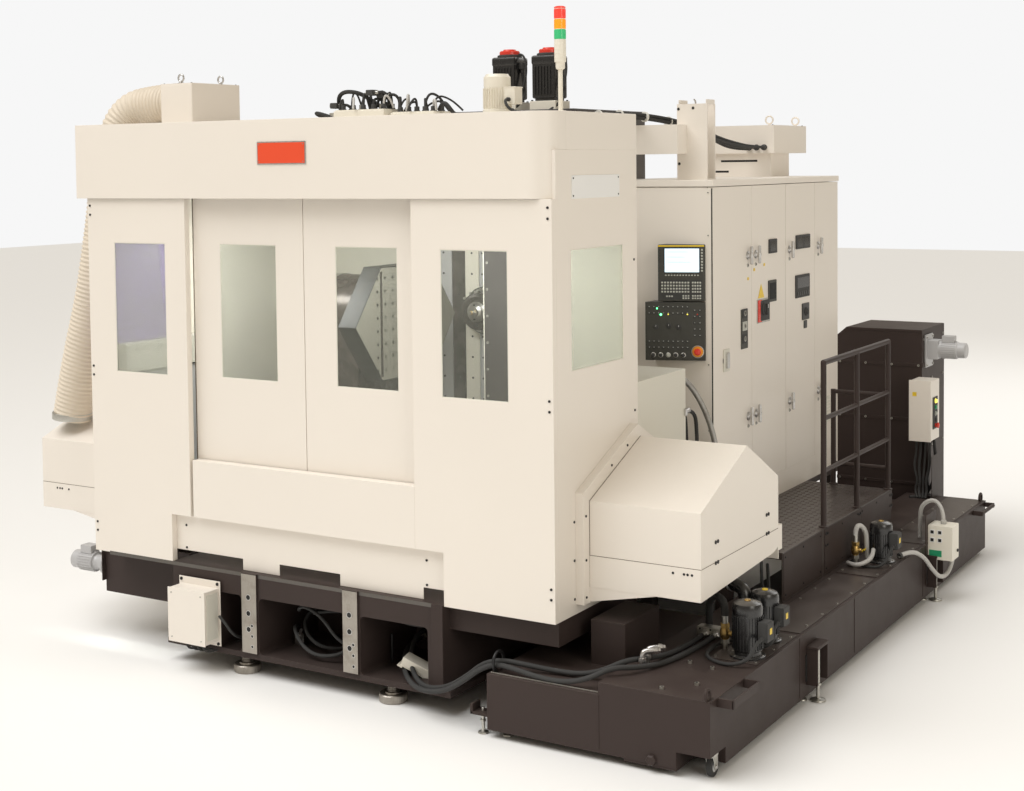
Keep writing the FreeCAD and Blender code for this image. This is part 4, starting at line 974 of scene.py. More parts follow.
# ---------------------------------------------------------------- studio
@dataclass
class Studio:
    """Plain pale floor, large soft lights and the camera."""

    eye: tuple[float, float, float] = (3685.45, -6573.0, 2805.77)
    yaw: float = 31.85179
    pitch: float = 3.0
    roll: float = -0.69119
    lens: float = 55.2457
    shift: tuple[float, float] = (0.02985, -0.14448)

    def build(self) -> None:
        """Build camera, floor and lights."""
        self.camera()
        self.floor()
        self.lights()

    def camera(self) -> None:
        """Camera at the view's place and framing."""
        yaw, pitch, roll = (math.radians(a) for a in (self.yaw, self.pitch, self.roll))
        ahead = Vector((-math.sin(yaw) * math.cos(pitch), math.cos(yaw) * math.cos(pitch), -math.sin(pitch)))
        right = Vector((math.cos(yaw), math.sin(yaw), 0.0))
        up = right.cross(ahead)
        across = right * math.cos(roll) + up * math.sin(roll)
        above = up * math.cos(roll) - right * math.sin(roll)
        data = bpy.data.cameras.new("view")
        data.lens = self.lens
        data.sensor_width = 36.0
        data.shift_x, data.shift_y = self.shift
        data.clip_end = 200.0
        camera = bpy.data.objects.new("view", data)
        place = Matrix((across, above, -ahead)).transposed().to_4x4()
        place.translation = HOME + Vector(self.eye) * MM
        camera.matrix_world = place
        bpy.context.scene.collection.objects.link(camera)
        bpy.context.scene.camera = camera

    def floor(self) -> None:
        """Pale floor that runs far past the object."""
        plane = bmesh.new()
        bmesh.ops.create_grid(plane, x_segments=2, y_segments=2, size=40.0)
        mesh = bpy.data.meshes.new("studio_floor")
        plane.to_mesh(mesh)
        plane.free()
        mesh.materials.append(FLOOR.material())
        floor = bpy.data.objects.new("studio_floor", mesh)
        bpy.context.scene.collection.objects.link(floor)

    def area(self, name: str, at: Point, aim: Point, size: tuple[float, float], watts: float,
             color: tuple[float, float, float] = (1.0, 1.0, 1.0)) -> None:
        """One soft area light.

        Args:
            name: Name of the light.
            at: Its place in metres.
            aim: The spot it faces.
            size: Width and height in metres.
            watts: Power.
            color: Colour of its light.
        """
        data = bpy.data.lights.new(name, "AREA")
        data.shape = "RECTANGLE"
        data.size, data.size_y = size
        data.energy = watts
        data.color = color
        lamp = bpy.data.objects.new(name, data)
        way = Vector(aim) - Vector(at)
        lamp.matrix_world = Matrix.Translation(at) @ way.to_track_quat("-Z", "Y").to_matrix().to_4x4()
        bpy.context.scene.collection.objects.link(lamp)

    def lights(self) -> None:
        """World light, key, side light, inside light and the back's own soft light."""
        scene = bpy.context.scene
        world = bpy.data.worlds.new("studio")
        world.use_nodes = True
        background = world.node_tree.nodes["Background"]
        background.inputs["Color"].default_value = (1.0, 0.88, 0.7, 1.0)
        background.inputs["Strength"].default_value = 0.36
        graph = Graph(world.node_tree)
        seen = graph.add("ShaderNodeBackground", {"Color": (0.93, 0.93, 0.93, 1.0), "Strength": 1.0})
        direct = graph.add("ShaderNodeLightPath").outputs["Is Camera Ray"]
        both = graph.add("ShaderNodeMixShader", {0: direct, 1: background.outputs[0], 2: seen.outputs[0]})
        graph.tree.links.new(both.outputs[0], world.node_tree.nodes["World Output"].inputs["Surface"])
        scene.world = world
        scene.view_settings.view_transform = "Standard"
        self.area("key", (-4.0, -8.5, 10.5), (0.0, -1.0, 1.4), (9.0, 7.0), 340.0, (1.0, 0.99, 0.97))
        self.area("side", (12.0, -7.5, 6.0), (1.2, -1.6, 1.2), (6.0, 6.0), 340.0, (1.0, 0.96, 0.88))
        sun = bpy.data.lights.new("sky", "SUN")
        sun.energy = 1.9
        sun.angle = math.radians(50)
        lamp = bpy.data.objects.new("sky", sun)
        lamp.matrix_world = Vector((0.30, 0.32, -0.90)).to_track_quat("-Z", "Y").to_matrix().to_4x4()
        scene.collection.objects.link(lamp)
        self.area("behind", (3.0, 11.0, 8.0), (0.0, 0.5, 1.5), (8.0, 6.0), 260.0)
        for name, x in (("inside_left", -2300.0), ("inside_right", -900.0)):
            spot = HOME + Vector((x, 330.0, 2560.0)) * MM
            self.area(name, spot, spot + Vector((0.0, 0.35, -1.0)), (0.9, 0.25), 17.0, (0.97, 1.0, 0.93))


# ---------------------------------------------------------------- floor hoses
@dataclass
class FloorHoses:
    """Two hoses from the bed's left pocket, over the foot of the tank, to its manifold."""

    radius: float = 13.0
    lengths: tuple[float, float] = (2.563, 2.755)
    first: tuple[tuple[float, float, float], ...] = (
        (-1070, 519.7, 280), (-1070, 380, 280), (-1010, 215, 215), (-885, 62, 163), (-740, -48, 149),
                                                     (-590, -72, 183),
        (-470, -62, 262), (-385, -57, 335), (-285, -54, 369), (-165, -22, 356), (-25, 8, 340), (120, 24, 339),
        (235, 36, 372), (330, 95, 422), (395, 215, 410), (432, 370, 394), (445, 510, 394), (449, 640, 394),
        (449, 769.7, 394))
    second: tuple[tuple[float, float, float], ...] = (
        (-1120, 519.7, 215), (-1120, 380, 215), (-1050, 200, 175), (-905, 30, 148), (-745, -84, 145),
                                                      (-590, -110, 172),
        (-470, -104, 246), (-380, -94, 320), (-285, -88, 359), (-165, -100, 352), (-25, -112, 337),
                                                      (115, -110, 338),
        (225, -92, 368), (325, -40, 424), (405, 62, 408), (460, 205, 394), (492, 360, 394), (503, 510, 394),
        (507, 640, 394), (507, 769.7, 394))

    def build(self) -> None:
        """Lay both hoses and their end fittings."""
        for index, (route, length) in enumerate(zip((self.first, self.second), self.lengths)):
            self.lay(index, route)

    def lay(self, index: int, route: Sequence[Point]) -> None:
        """One hose along its route.

        Args:
            index: 0 or 1.
            route: Control points of the hose.
        """
        points = [HOME + Vector(p) * MM for p in route]
        node = "floor_hose_" + "ab"[index]
        curve = nurbs(points, self.radius * MM, resolution=12)
        curve.materials.append(RUBBER.material())
        hose = bpy.data.objects.new(node + "_line", curve)
        bpy.context.scene.collection.objects.link(hose)
        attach(hose, ROOT)
        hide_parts(node)
        ends = Stock("hose_ferrules_%d" % (index + 1))
        for tip, inner in ((route[0], route[1]), (route[-1], route[-2])):
            way = (Vector(inner) - Vector(tip)).normalized()
            ends.lathe(tip, way, [(13.4, 0), (17, 3), (17, 34), (14.6, 42), (13.4, 44)], ZINC, 28)
            ends.lathe(tip, way, [(20, 1), (20, 16)], ZINC, 6)
        ends.finish(Slot.STEEL)


# ---------------------------------------------------------------- guard
@dataclass
class Guard:
    """Sheet-metal guard of the front bay with its doors, windows, plates and screws."""

    plate_x: tuple[float, float] = (-1796.0, -1465.0)
    plate_z: tuple[float, float] = (2822.0, 2946.0)
    side_plate_y: tuple[float, float] = (200.0, 715.0)
    side_plate_z: tuple[float, float] = (2636.0, 2751.0)
    seal: float = 7.0
    window_z: tuple[float, float] = (1637.0, 2389.0)

    def build(self) -> None:
        """Build every piece of the guard."""
        self.front = Bounds.of("front_panels")
        self.fascia_front = Bounds.of("fascia").lo.y
        self.skins()
        self.blank_plates()
        self.seals()
        self.door_fittings()
        self.fasteners()

    def skins(self) -> None:
        """Soft-edged panels and glass."""
        for node in ("fascia", "roof_cover", "sill_panels", "chip_hoods", "front_panels", "side_panels"):
            skin(node, plain(CREAM), Slot.CREAM)
        # painted shade: the rear guard takes the darker cream copy
        skin("rear_guard", plain(CREAM_PAINTED_SHADE), Slot.CREAM)
        left = self.front.lo.x
        skin("fixed_windows", lambda lo, hi: TINTED if hi.x < left + 20 else GLASS, Slot.WINDOW, 0.6)
        for side in ("left", "right"):
            skin("sliding_door_" + side, lambda lo, hi: GLASS if hi.y - lo.y < 8 else CREAM, Slot.CREAM, 1.6)

    def blank_plates(self) -> None:
        """Blank name plates on the fascia and on the right side."""
        y = self.fascia_front
        (x0, x1), (z0, z1) = self.plate_x, self.plate_z
        plate = Stock("fascia_plate")
        plate.box((x0, y - 5, z0), (x1, y, z1), STEEL, 2.2)
        plate.box((x0 + 7, y - 7.5, z0 + 7), (x1 - 7, y - 3, z1 - 7), RED, 1.5)
        corners = [(x, z) for x in (x0 + 16, x1 - 16) for z in (z0 + 16, z1 - 16)]
        plate.screws((((x, y - 7.5, z), FRONT) for x, z in corners), 3.2, 1.6, STEEL)
        plate.finish(Slot.RED_PLASTIC)
        (y0, y1), (z0, z1) = self.side_plate_y, self.side_plate_z
        tag = Stock("side_plate")
        tag.box((0, y0, z0), (3, y1, z1), WHITE, 1.2)
        tag.screws((((3, b, c), RIGHT) for b in (y0 + 14, y1 - 14) for c in (z0 + 14, z1 - 14)), 4.5, 2.0)
        tag.finish(Slot.CREAM)

    def frame_of(self, stock: Stock, lo: Point, hi: Point, across: str) -> None:
        """Seal strip around a rectangular opening.

        Args:
            stock: Piece that takes the strips.
            lo: Low corner of the strip's outside.
            hi: High corner of the strip's outside.
            across: Axis that the pane faces.
        """
        u = 0 if across == "y" else 1
        for k, end in ((u, 0), (u, 1), (2, 0), (2, 1)):
            a, b = list(lo), list(hi)
            if end == 0:
                b[k] = a[k] + self.seal
            else:
                a[k] = b[k] - self.seal
            # painted shade: the strips take the darker cream copy
            stock.box(a, b, CREAM_PAINTED_SHADE, 1.0)

    def seals(self) -> None:
        """Seal strips inside the window openings."""
        fixed = Stock("window_seals")
        glass = 6.0
        low, high = self.window_z
        for x0, x1 in ((-2892.0, -2500.0), (-643.0, -252.0)):
            self.frame_of(fixed, (x0 - 3, 1.5, low), (x1 + 3, 4.4, high), "y")
        for x in (-4.4, self.front.lo.x + 1.5):
            self.frame_of(fixed, (x, 187, 1785), (x + 2.9, 756, high), "x")
        for x in (-10 - glass, self.front.lo.x + 10):
            spots = [(x, 170, 1815 + 92 * k) for k in range(7)] + [(x, 774, 1815 + 92 * k) for k in range(7)]
            way = LEFT if x > -100 else RIGHT
            fixed.screws(((p, way) for p in spots), 6.0, 4.0)
        fixed.finish(Slot.CREAM)
        for side, x0, x1 in (("left", -2150.0, -1753.0), ("right", -1350.0, -953.0)):
            seal = Stock("door_seal_" + side)
            self.frame_of(seal, (x0 - 3, 66.5, low), (x1 + 3, 69.3, high), "y")
            seal.finish(Slot.CREAM, "door_" + side)

    def door_fittings(self) -> None:
        """Meeting strips, hanger rollers and inner pull of each sliding door."""
        for side, sign in (("left", 1), ("right", -1)):
            door = Bounds.of("sliding_door_" + side)
            edge = door.hi.x if sign > 0 else door.lo.x
            item = Stock("door_strip_" + side)
            item.box((edge - (8 if sign > 0 else -1), door.lo.y + 3, door.lo.z + 6),
                     (edge - (-1 if sign < 0 else 1) + (8 if sign < 0 else 0), door.lo.y + 14, door.hi.z - 6),
                     RUBBER, 1.0)
            for x in (door.lo.x + 110, door.hi.x - 110):
                item.box((x - 45, door.hi.y - 24, door.hi.z - 70), (x + 45, door.hi.y - 4, door.hi.z - 6), ZINC,
                         2.0)
                item.lathe((x, door.hi.y - 24, door.hi.z - 34), FRONT, [(14, 0), (14, 3), (6, 4), (6, 7)], STEEL)
            item.box((edge - sign * 90 - 10, door.hi.y - 8, 1380), (edge - sign * 90 + 10, door.hi.y, 1560), BLACK,
                     3.0)
            # painted shade: dark strip at the left door's outer edge for the panel's return in shade, closing the
            # gap
            if sign > 0:
                item.box((door.lo.x - 9, door.lo.y + 1.5, door.lo.z + 6),
                         (door.lo.x + 2, door.lo.y + 8, door.hi.z - 6), SEAM_PAINTED_SHADOW, 0.8)
            item.finish(Slot.BLACK_PLASTIC, "door_" + side)
        tracks = Stock("track_bolts")
        spots = [((x, 59.9, 2672.0), FRONT) for x in range(-3020, -60, 190)]
        tracks.screws(spots, 6.0, 3.0, ZINC)
        tracks.finish(Slot.STEEL)

    def fasteners(self) -> None:
        """Screws of the panels and hoods, painted shadow lines along the hood seams, and brackets."""
        hood = Bounds.of("chip_hoods")
        item = Stock("guard_screws")
        front = [(-22, z) for z in (2598, 2545, 1662, 1610, 741, 690)]
        left = self.front.lo.x + 22
        front += [(left, z) for z in (2598, 2545, 1662, 1610, 741, 690)]
        spots = [((x, 0, z), FRONT) for x, z in front]
        spots += [((x, 40, z), FRONT) for x in (-2418, -776) for z in (784, 656)]
        spots += [((0, y, z), RIGHT) for y in (880,) for z in (700, 1500, 2300)]
        for sign, face in ((1, 0.0), (-1, self.front.lo.x)):
            out = face + sign * 45.0
            spots += [((out, y, z), (sign, 0, 0)) for y, z in
                      ((236, 1063), (236, 842), (236, 655), (520, 1270), (700, 1344), (1310, 1080), (1310, 700))]
            spots += [((face, y, z), (sign, 0, 0)) for y, z in ((196, 1036), (196, 843), (196, 649))]
            spots += [((face + sign * s, 273, 829), FRONT) for s in (500, 558, 577, 600)]
        item.screws(spots, 6.5, 3.6)
        item.finish(Slot.CREAM)
        trims = Stock("hood_trims")
        for sign, face, tip in ((1, 0.0, hood.hi.x), (-1, self.front.lo.x, hood.lo.x)):
            a, b = sorted((face + sign * 46, tip - sign * 1.0))
            trims.box((a, 270.6, 700), (b, 273.4, 858), CREAM, 1.0)
            pairs = [(446, 958), (474, 958), (446, 856), (474, 856), (1110, 962), (1138, 962), (1110, 862),
                     (1138, 862)]
            trims.screws([((tip, y, z), (sign, 0, 0)) for y, z in pairs], 9.5, 4.0)
            # painted shadow: dark lines along the trim's top edge and the hood's side
            trims.box((a, 271.6, 857.5), (b, 273.2, 861), SEAM_PAINTED_SHADOW, 0.3)
            trims.box((min(tip, tip + sign), 275, 857.5), (max(tip, tip + sign), 1275, 860.5), SEAM_PAINTED_SHADOW, 0.3)
            # painted shadow: dark line round the hood's flange
            edge = face + sign * 46
            rim = [(700, 273), (1132, 273), (1369, 851), (1140, 1280), (760, 1280)]
            trims.sweep([Vector((edge, y, z)) for z, y in rim], 2.0, SEAM_PAINTED_SHADOW)
            c, d = sorted((tip - sign * 120, tip - sign * 1.5))
            trims.box((c, 1280, 735), (d, 1340, 870), CREAM, 3.0)
            trims.box((min(c, d), 1283, 690), (max(c, d), 1289, 740), CREAM, 1.5)
        trims.finish(Slot.CREAM)


# ---------------------------------------------------------------- inside the guard
@dataclass
class WorkSpace:
    """Table, face plate, ram and covers that show through the windows."""

    hole_pitch: float = 75.0
    hole_radius: float = 9.5

    def build(self) -> None:
        """Build the pieces inside."""
        self.face_plate()
        self.table()
        self.spindle()
        self.covers()
        for node, finish in (("column", SLIDE), ("spindle_saddle", SLIDE), ("guide_rails", STEEL)):
            skin(node, plain(finish), Slot.IRON if node != "guide_rails" else Slot.STEEL, 3.0)

    def face_plate(self) -> None:
        """Six-sided plate with a dark edge and a pale face with its grid of threaded bores."""
        skin("rotary_table", plain(BLACK_OXIDE), Slot.STEEL, 5.0)
        plate = Bounds.of("rotary_table")
        mid = plate.mid
        x = plate.hi.x
        item = Stock("face_plate_bores")
        tip, flat = 508.0, 320.0
        slope = flat * 0.78
        edge = [(-tip, 0.0), (slope - tip, flat), (tip - slope, flat), (tip, 0.0), (tip - slope, -flat),
                (slope - tip, -flat)]
        item.prism([(mid.y + b, mid.z + c) for b, c in edge], "x", x - 1.0, x + 0.6, GRAPHITE, 0.5)
        face = at((x, mid.y, mid.z)) @ Matrix.Rotation(math.radians(90), 4, "Y")
        core = Stock("core")
        core.lathe((0, 0, -0.2), UP, [(self.hole_radius, 0.0), (self.hole_radius, 0.8), (0.0, 0.8)], STEEL, 10)
        item.repeat(core, MATT_BLACK, face, 8, 9, self.hole_pitch, self.hole_pitch)
        item.lathe((x - 1, mid.y, mid.z), RIGHT, [(58, 0), (58, 3.5), (46, 4.5), (44, 1.5), (0, 1.5)], STEEL, 40)
        for offset in (-262.5, 0.0, 262.5):
            item.box((x - 1.0, mid.y + offset - 11, mid.z - 300), (x + 1.2, mid.y + offset + 11, mid.z + 300), DRUM,
                     0.6)
        item.finish(Slot.STEEL, "face_plate")

    def table(self) -> None:
        """Cross slide and swivel with their bearing ring, screws and a hose."""
        skin("table_saddle", plain(DRUM), Slot.STEEL, 5.0)
        skin("table_swivel", plain(DRUM), Slot.STEEL, 5.0)
        drum = Bounds.of("table_swivel")
        item = Stock("swivel_rings")
        centre = Bounds.of("rotary_table").mid
        for x, radius in ((drum.lo.x + 40, 264.0), (drum.lo.x + 160, 264.0)):
            item.lathe((x, centre.y, centre.z), RIGHT, [(255, 0), (radius, 2), (radius, 18), (255, 20)], STEEL, 48)
        bolt = Stock("bolt")
        bolt.lathe((0, 0, 0), UP, [(10, 0), (10, 8), (8, 10), (0, 10)], STEEL, 10)
        turn = at((drum.lo.x - 9.5, centre.y, centre.z)) @ Matrix.Rotation(math.radians(90), 4, "Y")
        item.circle(bolt, ZINC, turn, 12, 215.0)
        item.strand([(drum.lo.x + 100, centre.y - 200, centre.z - 250),
                     (drum.lo.x + 60, centre.y - 300, centre.z - 420),
                     (drum.lo.x + 120, centre.y - 280, centre.z - 620),
                     (drum.lo.x + 200, centre.y - 200, centre.z - 800),
                     (drum.lo.x + 220, centre.y - 150, centre.z - 1000)], 16, RUBBER)
        item.finish(Slot.STEEL, "swivel")

    def spindle(self) -> None:
        """Dark ram with a stepped nose, tool holder and coated tool."""
        skin("spindle_head", plain(BLACK_PAINT), Slot.IRON, 3.0)
        head = Bounds.of("spindle_head")
        x, z, y = head.mid.x, head.mid.z, head.lo.y
        nose = Stock("ram_nose")
        nose.lathe((x, y + 92, z), FRONT, [(132, 0), (132, 12), (118, 18), (117, 40), (104, 44)], DRUM, 48)
        nose.lathe((x, y + 2, z), FRONT, [(111, -3), (109, 3), (96, 6), (94, 8), (66, 9), (64, 3)], DRUM, 48)
        nose.lathe((x, y + 1, z), FRONT, [(66, -3), (64, 12), (58, 16), (56, 12)], STEEL, 48)
        bolt = Stock("bolt")
        bolt.lathe((0, 0, 0), UP, [(7, 0), (7, 5), (4, 5.5), (0, 3)], BLACK_OXIDE, 10)
        nose.circle(bolt, BLACK_OXIDE, at((x, y - 4, z)) @ turned(FRONT), 8, 84.0)
        for k in range(5):
            a = math.radians(40 + 25 * k)
            spot = Vector((x + 124 * math.cos(a), y + 40, z + 124 * math.sin(a)))
            nose.rod(spot, spot + Vector((0, -38, 0)), 8, ZINC)
        nose.finish(Slot.IRON, "ram")
        spindle = Bounds.of("spindle")
        tip = spindle.lo.y
        tool = Stock("tool_holder")
        profile = [(0, 0), (11.8, 1.5), (11.8, 34), (33, 36), (33.5, 44), (30, 47), (30, 52), (40, 56), (49, 60),
                   (49, 66),
                   (43, 68), (43, 72), (49, 74), (49, 78), (61.4, 80), (61.4, 88), (61.4, 130)]
        tool.lathe((x, tip, z), (0, 1, 0), profile, STEEL, 40)
        tool.lathe((x, tip, z), (0, 1, 0), [(12.4, 6), (12.4, 20), (11, 20.5)], GOLD, 24)
        for side in (-1, 1):
            tool.box((x - 8, tip + 56, z + side * 42 - 6), (x + 8, tip + 84, z + side * 42 + 6), BLACK_OXIDE, 1.0)
        tool.finish(Slot.STEEL, "spindle", ("spindle",))

    def covers(self) -> None:
        """Vertical way covers, inner strips and lamp."""
        item = Stock("way_covers")
        # partly painted shade: the dark finish of the way covers partly paints the shade beside the ram
        for k in range(9):
            z = 700 + k * 235
            item.box((-940, 1000, z), (-900, 1500, z + 228), DRUM, 3.0)
        for low, high, finish in ((-1790, -1668, GREY_PAINT), (-1664, -1574, DRUM), (-1570, -1470, IVORY),
                                  (-1466, -1420, GREY_PAINT)):
            item.box((low, 1690, 660), (high, 1702, 2820), finish, 2.0)
            item.screws(((((low + high) / 2, 1690, 700 + 130 * k), FRONT) for k in range(16)), 6.5, 3.0)
        lid = [(-2890, 1500), (-2890, 1180), (-2560, 905)]
        for low, high in zip(lid, lid[1:]):
            # painted shade: lid strips inside in the darker cream copy
            item.box((min(low[0], high[0]) - 0.5, 1700, 1500), (max(low[0], high[0]) + 0.5, 1706, 1520),
                     CREAM_PAINTED_SHADE, 1.0)
        item.finish(Slot.CREAM)
        sill = Stock("inner_sill")
        # painted shade: the inner sill blocks take the darker cream copy
        sill.box((-3058, 180, 1600), (-2990, 900, 1772), CREAM_PAINTED_SHADE, 2.5)
        sill.screws((((-2989.8, y, 1735), RIGHT) for y in (260, 470, 520, 800)), 8.0, 4.0)
        sill.box((-3058, 180, 600), (-3010, 900, 1590), GREY_PAINT, 2.5)
        sill.box((-110, 180, 1600), (-42, 900, 1772), CREAM_PAINTED_SHADE, 2.5)
        # painted shade: dark panel beside the ram, for the shade there
        sill.box((-946, 903, 660), (-560, 915, 2600), SLIDE, 2.0)
        sill.screws((((-925, 903, 760 + 150 * k), FRONT) for k in range(12)), 7.0, 3.0, ZINC)
        sill.finish(Slot.CREAM)
        lamp = Stock("work_lamp")
        lamp.box((-1950, 180, 2560), (-1250, 250, 2600), STEEL, 3.0)
        lamp.box((-1930, 190, 2552), (-1270, 240, 2562),
                 Moulded("lamp_glass", (1.0, 0.97, 0.9), gloss=0.2, glow=3.0), 2.0)
        lamp.box((-1700, 190, 2598), (-1500, 240, 2686), ZINC, 3.0)
        lamp.finish(Slot.STEEL)


# ---------------------------------------------------------------- bed
@dataclass
class Base:
    """Cast bed with bright pads, the junction box, feet, trough and its gear motor."""

    pads: tuple[tuple[float, float], ...] = ((-1978.0, -1872.0), (-1284.0, -1186.0), (-720.0, -650.0))

    def build(self) -> None:
        """Build the pieces of the bed."""
        skin("machine_bed", plain(DARK), Slot.DARK, 3.0)
        skin("chip_trough", plain(DARK), Slot.DARK, 2.0)
        self.pad_faces()
        self.feet()
        self.junction_box()
        self.pocket_parts()

    def pad_faces(self) -> None:
        """Milled faces with bolt bores on the bed's pads."""
        item = Stock("pad_faces")
        bed = Bounds.of("machine_bed")
        for x0, x1 in self.pads[:2]:
            y = bed.lo.y
            item.box((x0 + 1, y - 0.8, 136), (x1 - 1, y + 2, 574), PAD_STEEL, 0.5)
            mid = (x0 + x1) / 2
            holes = [(mid - 4, z, 14.0) for z in (446, 357, 268)] + [(mid + 20, z, 7.5) for z in (290, 232, 174)]
            for x, z, r in holes:
                item.lathe((x, y - 0.9, z), FRONT, [(r + 3, 0), (r + 3, 0.8), (r, 1.0), (r, 0.3), (0, 0.3)], STEEL,
                           20)
                item.lathe((x, y - 1.2, z), FRONT, [(r, 0), (r, 0.5), (0, 0.5)], MATT_BLACK, 20)
        x0, x1 = self.pads[2]
        item.box((x0 + 1, bed.lo.y - 0.8, 136), (x1 - 1, bed.lo.y + 2, 574), DARK, 0.5)
        item.box((bed.lo.x + 55, -1.0, 556), (-660, 1.0, 577), MILLED, 0.5)
        item.finish(Slot.IRON)

    def feet(self) -> None:
        """Levelling pads with knurled rims and screws; small feet under the tank."""
        item = Stock("levelling_pads")
        for x, y in ((-2017, 75), (-1023, 75), (-2300, 1650), (-840, 1650), (-2017, 3200), (-1023, 3200)):
            item.lathe((x, y, 0), UP, [(70, 0), (75, 3), (75, 40), (71, 45), (44, 45), (42, 52), (30, 52)],
                       PAD_STEEL, 48)
            item.lathe((x, y, 44), UP, [(28, 0), (28, 56)], DRUM, 24)
            for k in range(5):
                item.lathe((x, y, 54 + k * 9), UP, [(28, 0), (31, 3), (31, 5), (28, 8)], PAD_STEEL, 24)
            item.fins((-1.5, -2.2, 8), (1.6, 2.2, 36), PAD_STEEL, 0.8, at((x, y, 0)), 44, 74.2)
        for x, y in ((-240, -60), (825, 1145), (825, 3322), (345, 2200), (345, 4400), (-240, 900)):
            item.lathe((x, y, 0), UP, [(25, 0), (28, 2), (26, 8), (13, 12), (9, 16), (9, 40)], ZINC, 28)
            item.lathe((x, y, 22), UP, [(16, 0), (16, 9)], ZINC, 6)
        item.finish(Slot.STEEL, replaces=("levelling_feet",))

    def junction_box(self) -> None:
        """Junction box on its plate, with cable glands, and the flow-meter box with its gauges."""
        item = Stock("service_boxes_detail")
        item.box((-2430, -17, 142), (-2128, -13, 508), CREAM, 1.2)
        item.box((-2430, -13, 300), (-2128, 0, 340), DARK, 1.0)
        item.box((-2405, -134, 172), (-2140, -17, 470), CREAM, 4.0)
        item.box((-2408, -138, 168), (-2137, -132, 474), CREAM, 2.0)
        # painted shade: a strip of the darker cream copy on the box's right side
        item.box((-2139, -122, 196), (-2134, -30, 452), CREAM_PAINTED_SHADE, 1.5)
        item.screws((((x, -17, z), FRONT) for x in (-2412, -2146) for z in (155, 492)), 9.0, 5.0)
        item.screws((((x, -138, z), FRONT) for x in (-2380, -2165) for z in (196, 446)), 4.0, 2.5, ZINC)
        for k, x in enumerate((-2330, -2290, -2250, -2210)):
            item.rod((x, -75, 172), (x, -75, 148), 13, BRASS if k % 2 else GREEN, 2.0)
            item.strand([(x, -75, 150), (x, -72, 120), (x + 25, -30, 108), (x + 60, 60, 118), (x + 90, 200, 140)],
                        6, RUBBER)
        item.strand([(-2100, -60, 330), (-2060, -60, 300), (-2045, -20, 230), (-2060, 80, 170), (-2080, 220, 150)],
                    8, RUBBER)
        x = Bounds.of("coolant_tank").hi.x
        item.box((x, 3230, 120), (x + 4, 3460, 560), DARK, 1.0)
        item.box((x + 4, 3273, 279), (1028, 3420, 497), IVORY, 4.0)
        for low in (900, 948):
            for z in (455, 405):
                item.box((low - 15, 3271, z - 15), (low + 15, 3274, z + 15), WHITE, 0.8)
                item.box((low - 10, 3269.8, z - 10), (low + 10, 3272, z + 10), MATT_BLACK, 0.5)
        item.box((882, 3270, 300), (960, 3274, 340), GREEN, 1.0)
        item.rod((1028, 3380, 330), (1036, 3380, 330), 10, BLACK, 1.5)
        item.rod((948, 3420, 385), (948, 3452, 385), 15, PVC, 2.0)
        item.rod((950, 3350, 497), (950, 3350, 520), 18, PVC, 2.0)
        item.finish(Slot.CREAM, replaces=("service_boxes",))

    def pocket_parts(self) -> None:
        """Cables, a valve and a small terminal box inside the bed's pockets."""
        item = Stock("pocket_cables")
        item.strand([(-1330, 505, 300), (-1360, 380, 330), (-1480, 260, 365), (-1620, 220, 350), (-1740, 300, 300),
                     (-1800, 505, 260)], 9, RUBBER)
        item.strand([(-1300, 505, 200), (-1400, 330, 175), (-1520, 180, 160), (-1650, 160, 210), (-1760, 250, 290),
                     (-1700, 380, 360), (-1540, 420, 380), (-1330, 505, 370)], 10, RUBBER)
        item.strand([(-1500, 505, 400), (-1460, 350, 400), (-1400, 260, 330), (-1340, 230, 240), (-1310, 300, 180),
                     (-1300, 505, 160)], 8, RUBBER)
        item.strand([(-790, 505, 330), (-830, 330, 360), (-920, 230, 370), (-1040, 210, 372), (-1130, 300, 370),
                     (-1160, 505, 360)], 9, RUBBER)
        item.rod((-1790, 250, 150), (-1740, 200, 215), 12, STEEL, 3.0)
        item.rod((-1740, 200, 215), (-1715, 180, 250), 8, STEEL, 2.0)
        item.box((-1812, 240, 133), (-1750, 246, 205), STEEL, 2.0)
        item.strand([(-1850, 420, 330), (-1760, 200, 330), (-1640, 90, 420), (-1500, 80, 385), (-1400, 100, 250),
                     (-1300, 140, 215), (-1290, 300, 200)], 9, RUBBER)
        item.strand([(-1850, 330, 210), (-1740, 130, 290), (-1620, 70, 190), (-1480, 60, 158), (-1330, 120, 200),
                     (-1290, 300, 300)], 10, RUBBER)
        box = at((-905, 150, 170)) @ Matrix.Rotation(math.radians(24), 4, "Y") @ Matrix.Rotation(0.2, 4, "Z")
        item.box((-95, -40, -20), (95, 40, 34), IVORY, 4.0, box)
        item.box((-110, -44, -26), (-80, 44, -18), IVORY, 1.5, box)
        item.rod((-1150, 250, 132), (-1150, 250, 290), 7, BLACK_OXIDE)
        item.finish(Slot.HOSE)
        motor = Stock("trough_motor")
        x, y, z = -3219.0, 226, 420
        motor.box((x - 6, 165, 330), (x, 300, 540), DARK, 2.0)
        motor.lathe((x - 6, y, z), LEFT, [(62, 0), (66, 4), (66, 20), (46, 30), (40, 70), (46, 92), (52, 96)],
                    GREY_PAINT, 36)
        motor.lathe((x - 100, y, z), LEFT, [(52, 0), (60, 4), (60, 118), (56, 124), (56, 176), (48, 184), (0, 184)],
                    GREY_PAINT, 36)
        motor.fins((-2.5, -2, -56), (3.2, 2, 56), GREY_PAINT, 0.8, at((x - 165, y, z)) @ turned(LEFT), 26, 60.0)
        motor.box((x - 210, 190, 470), (x - 120, 262, 520), GREY_PAINT, 4.0)
        motor.rod((x - 165, y, z + 54), (x - 165, 200, 474), 8, BLACK)
        self.conveyor_motor(motor)
        motor.finish(Slot.MOTOR, replaces=("gear_motors",))

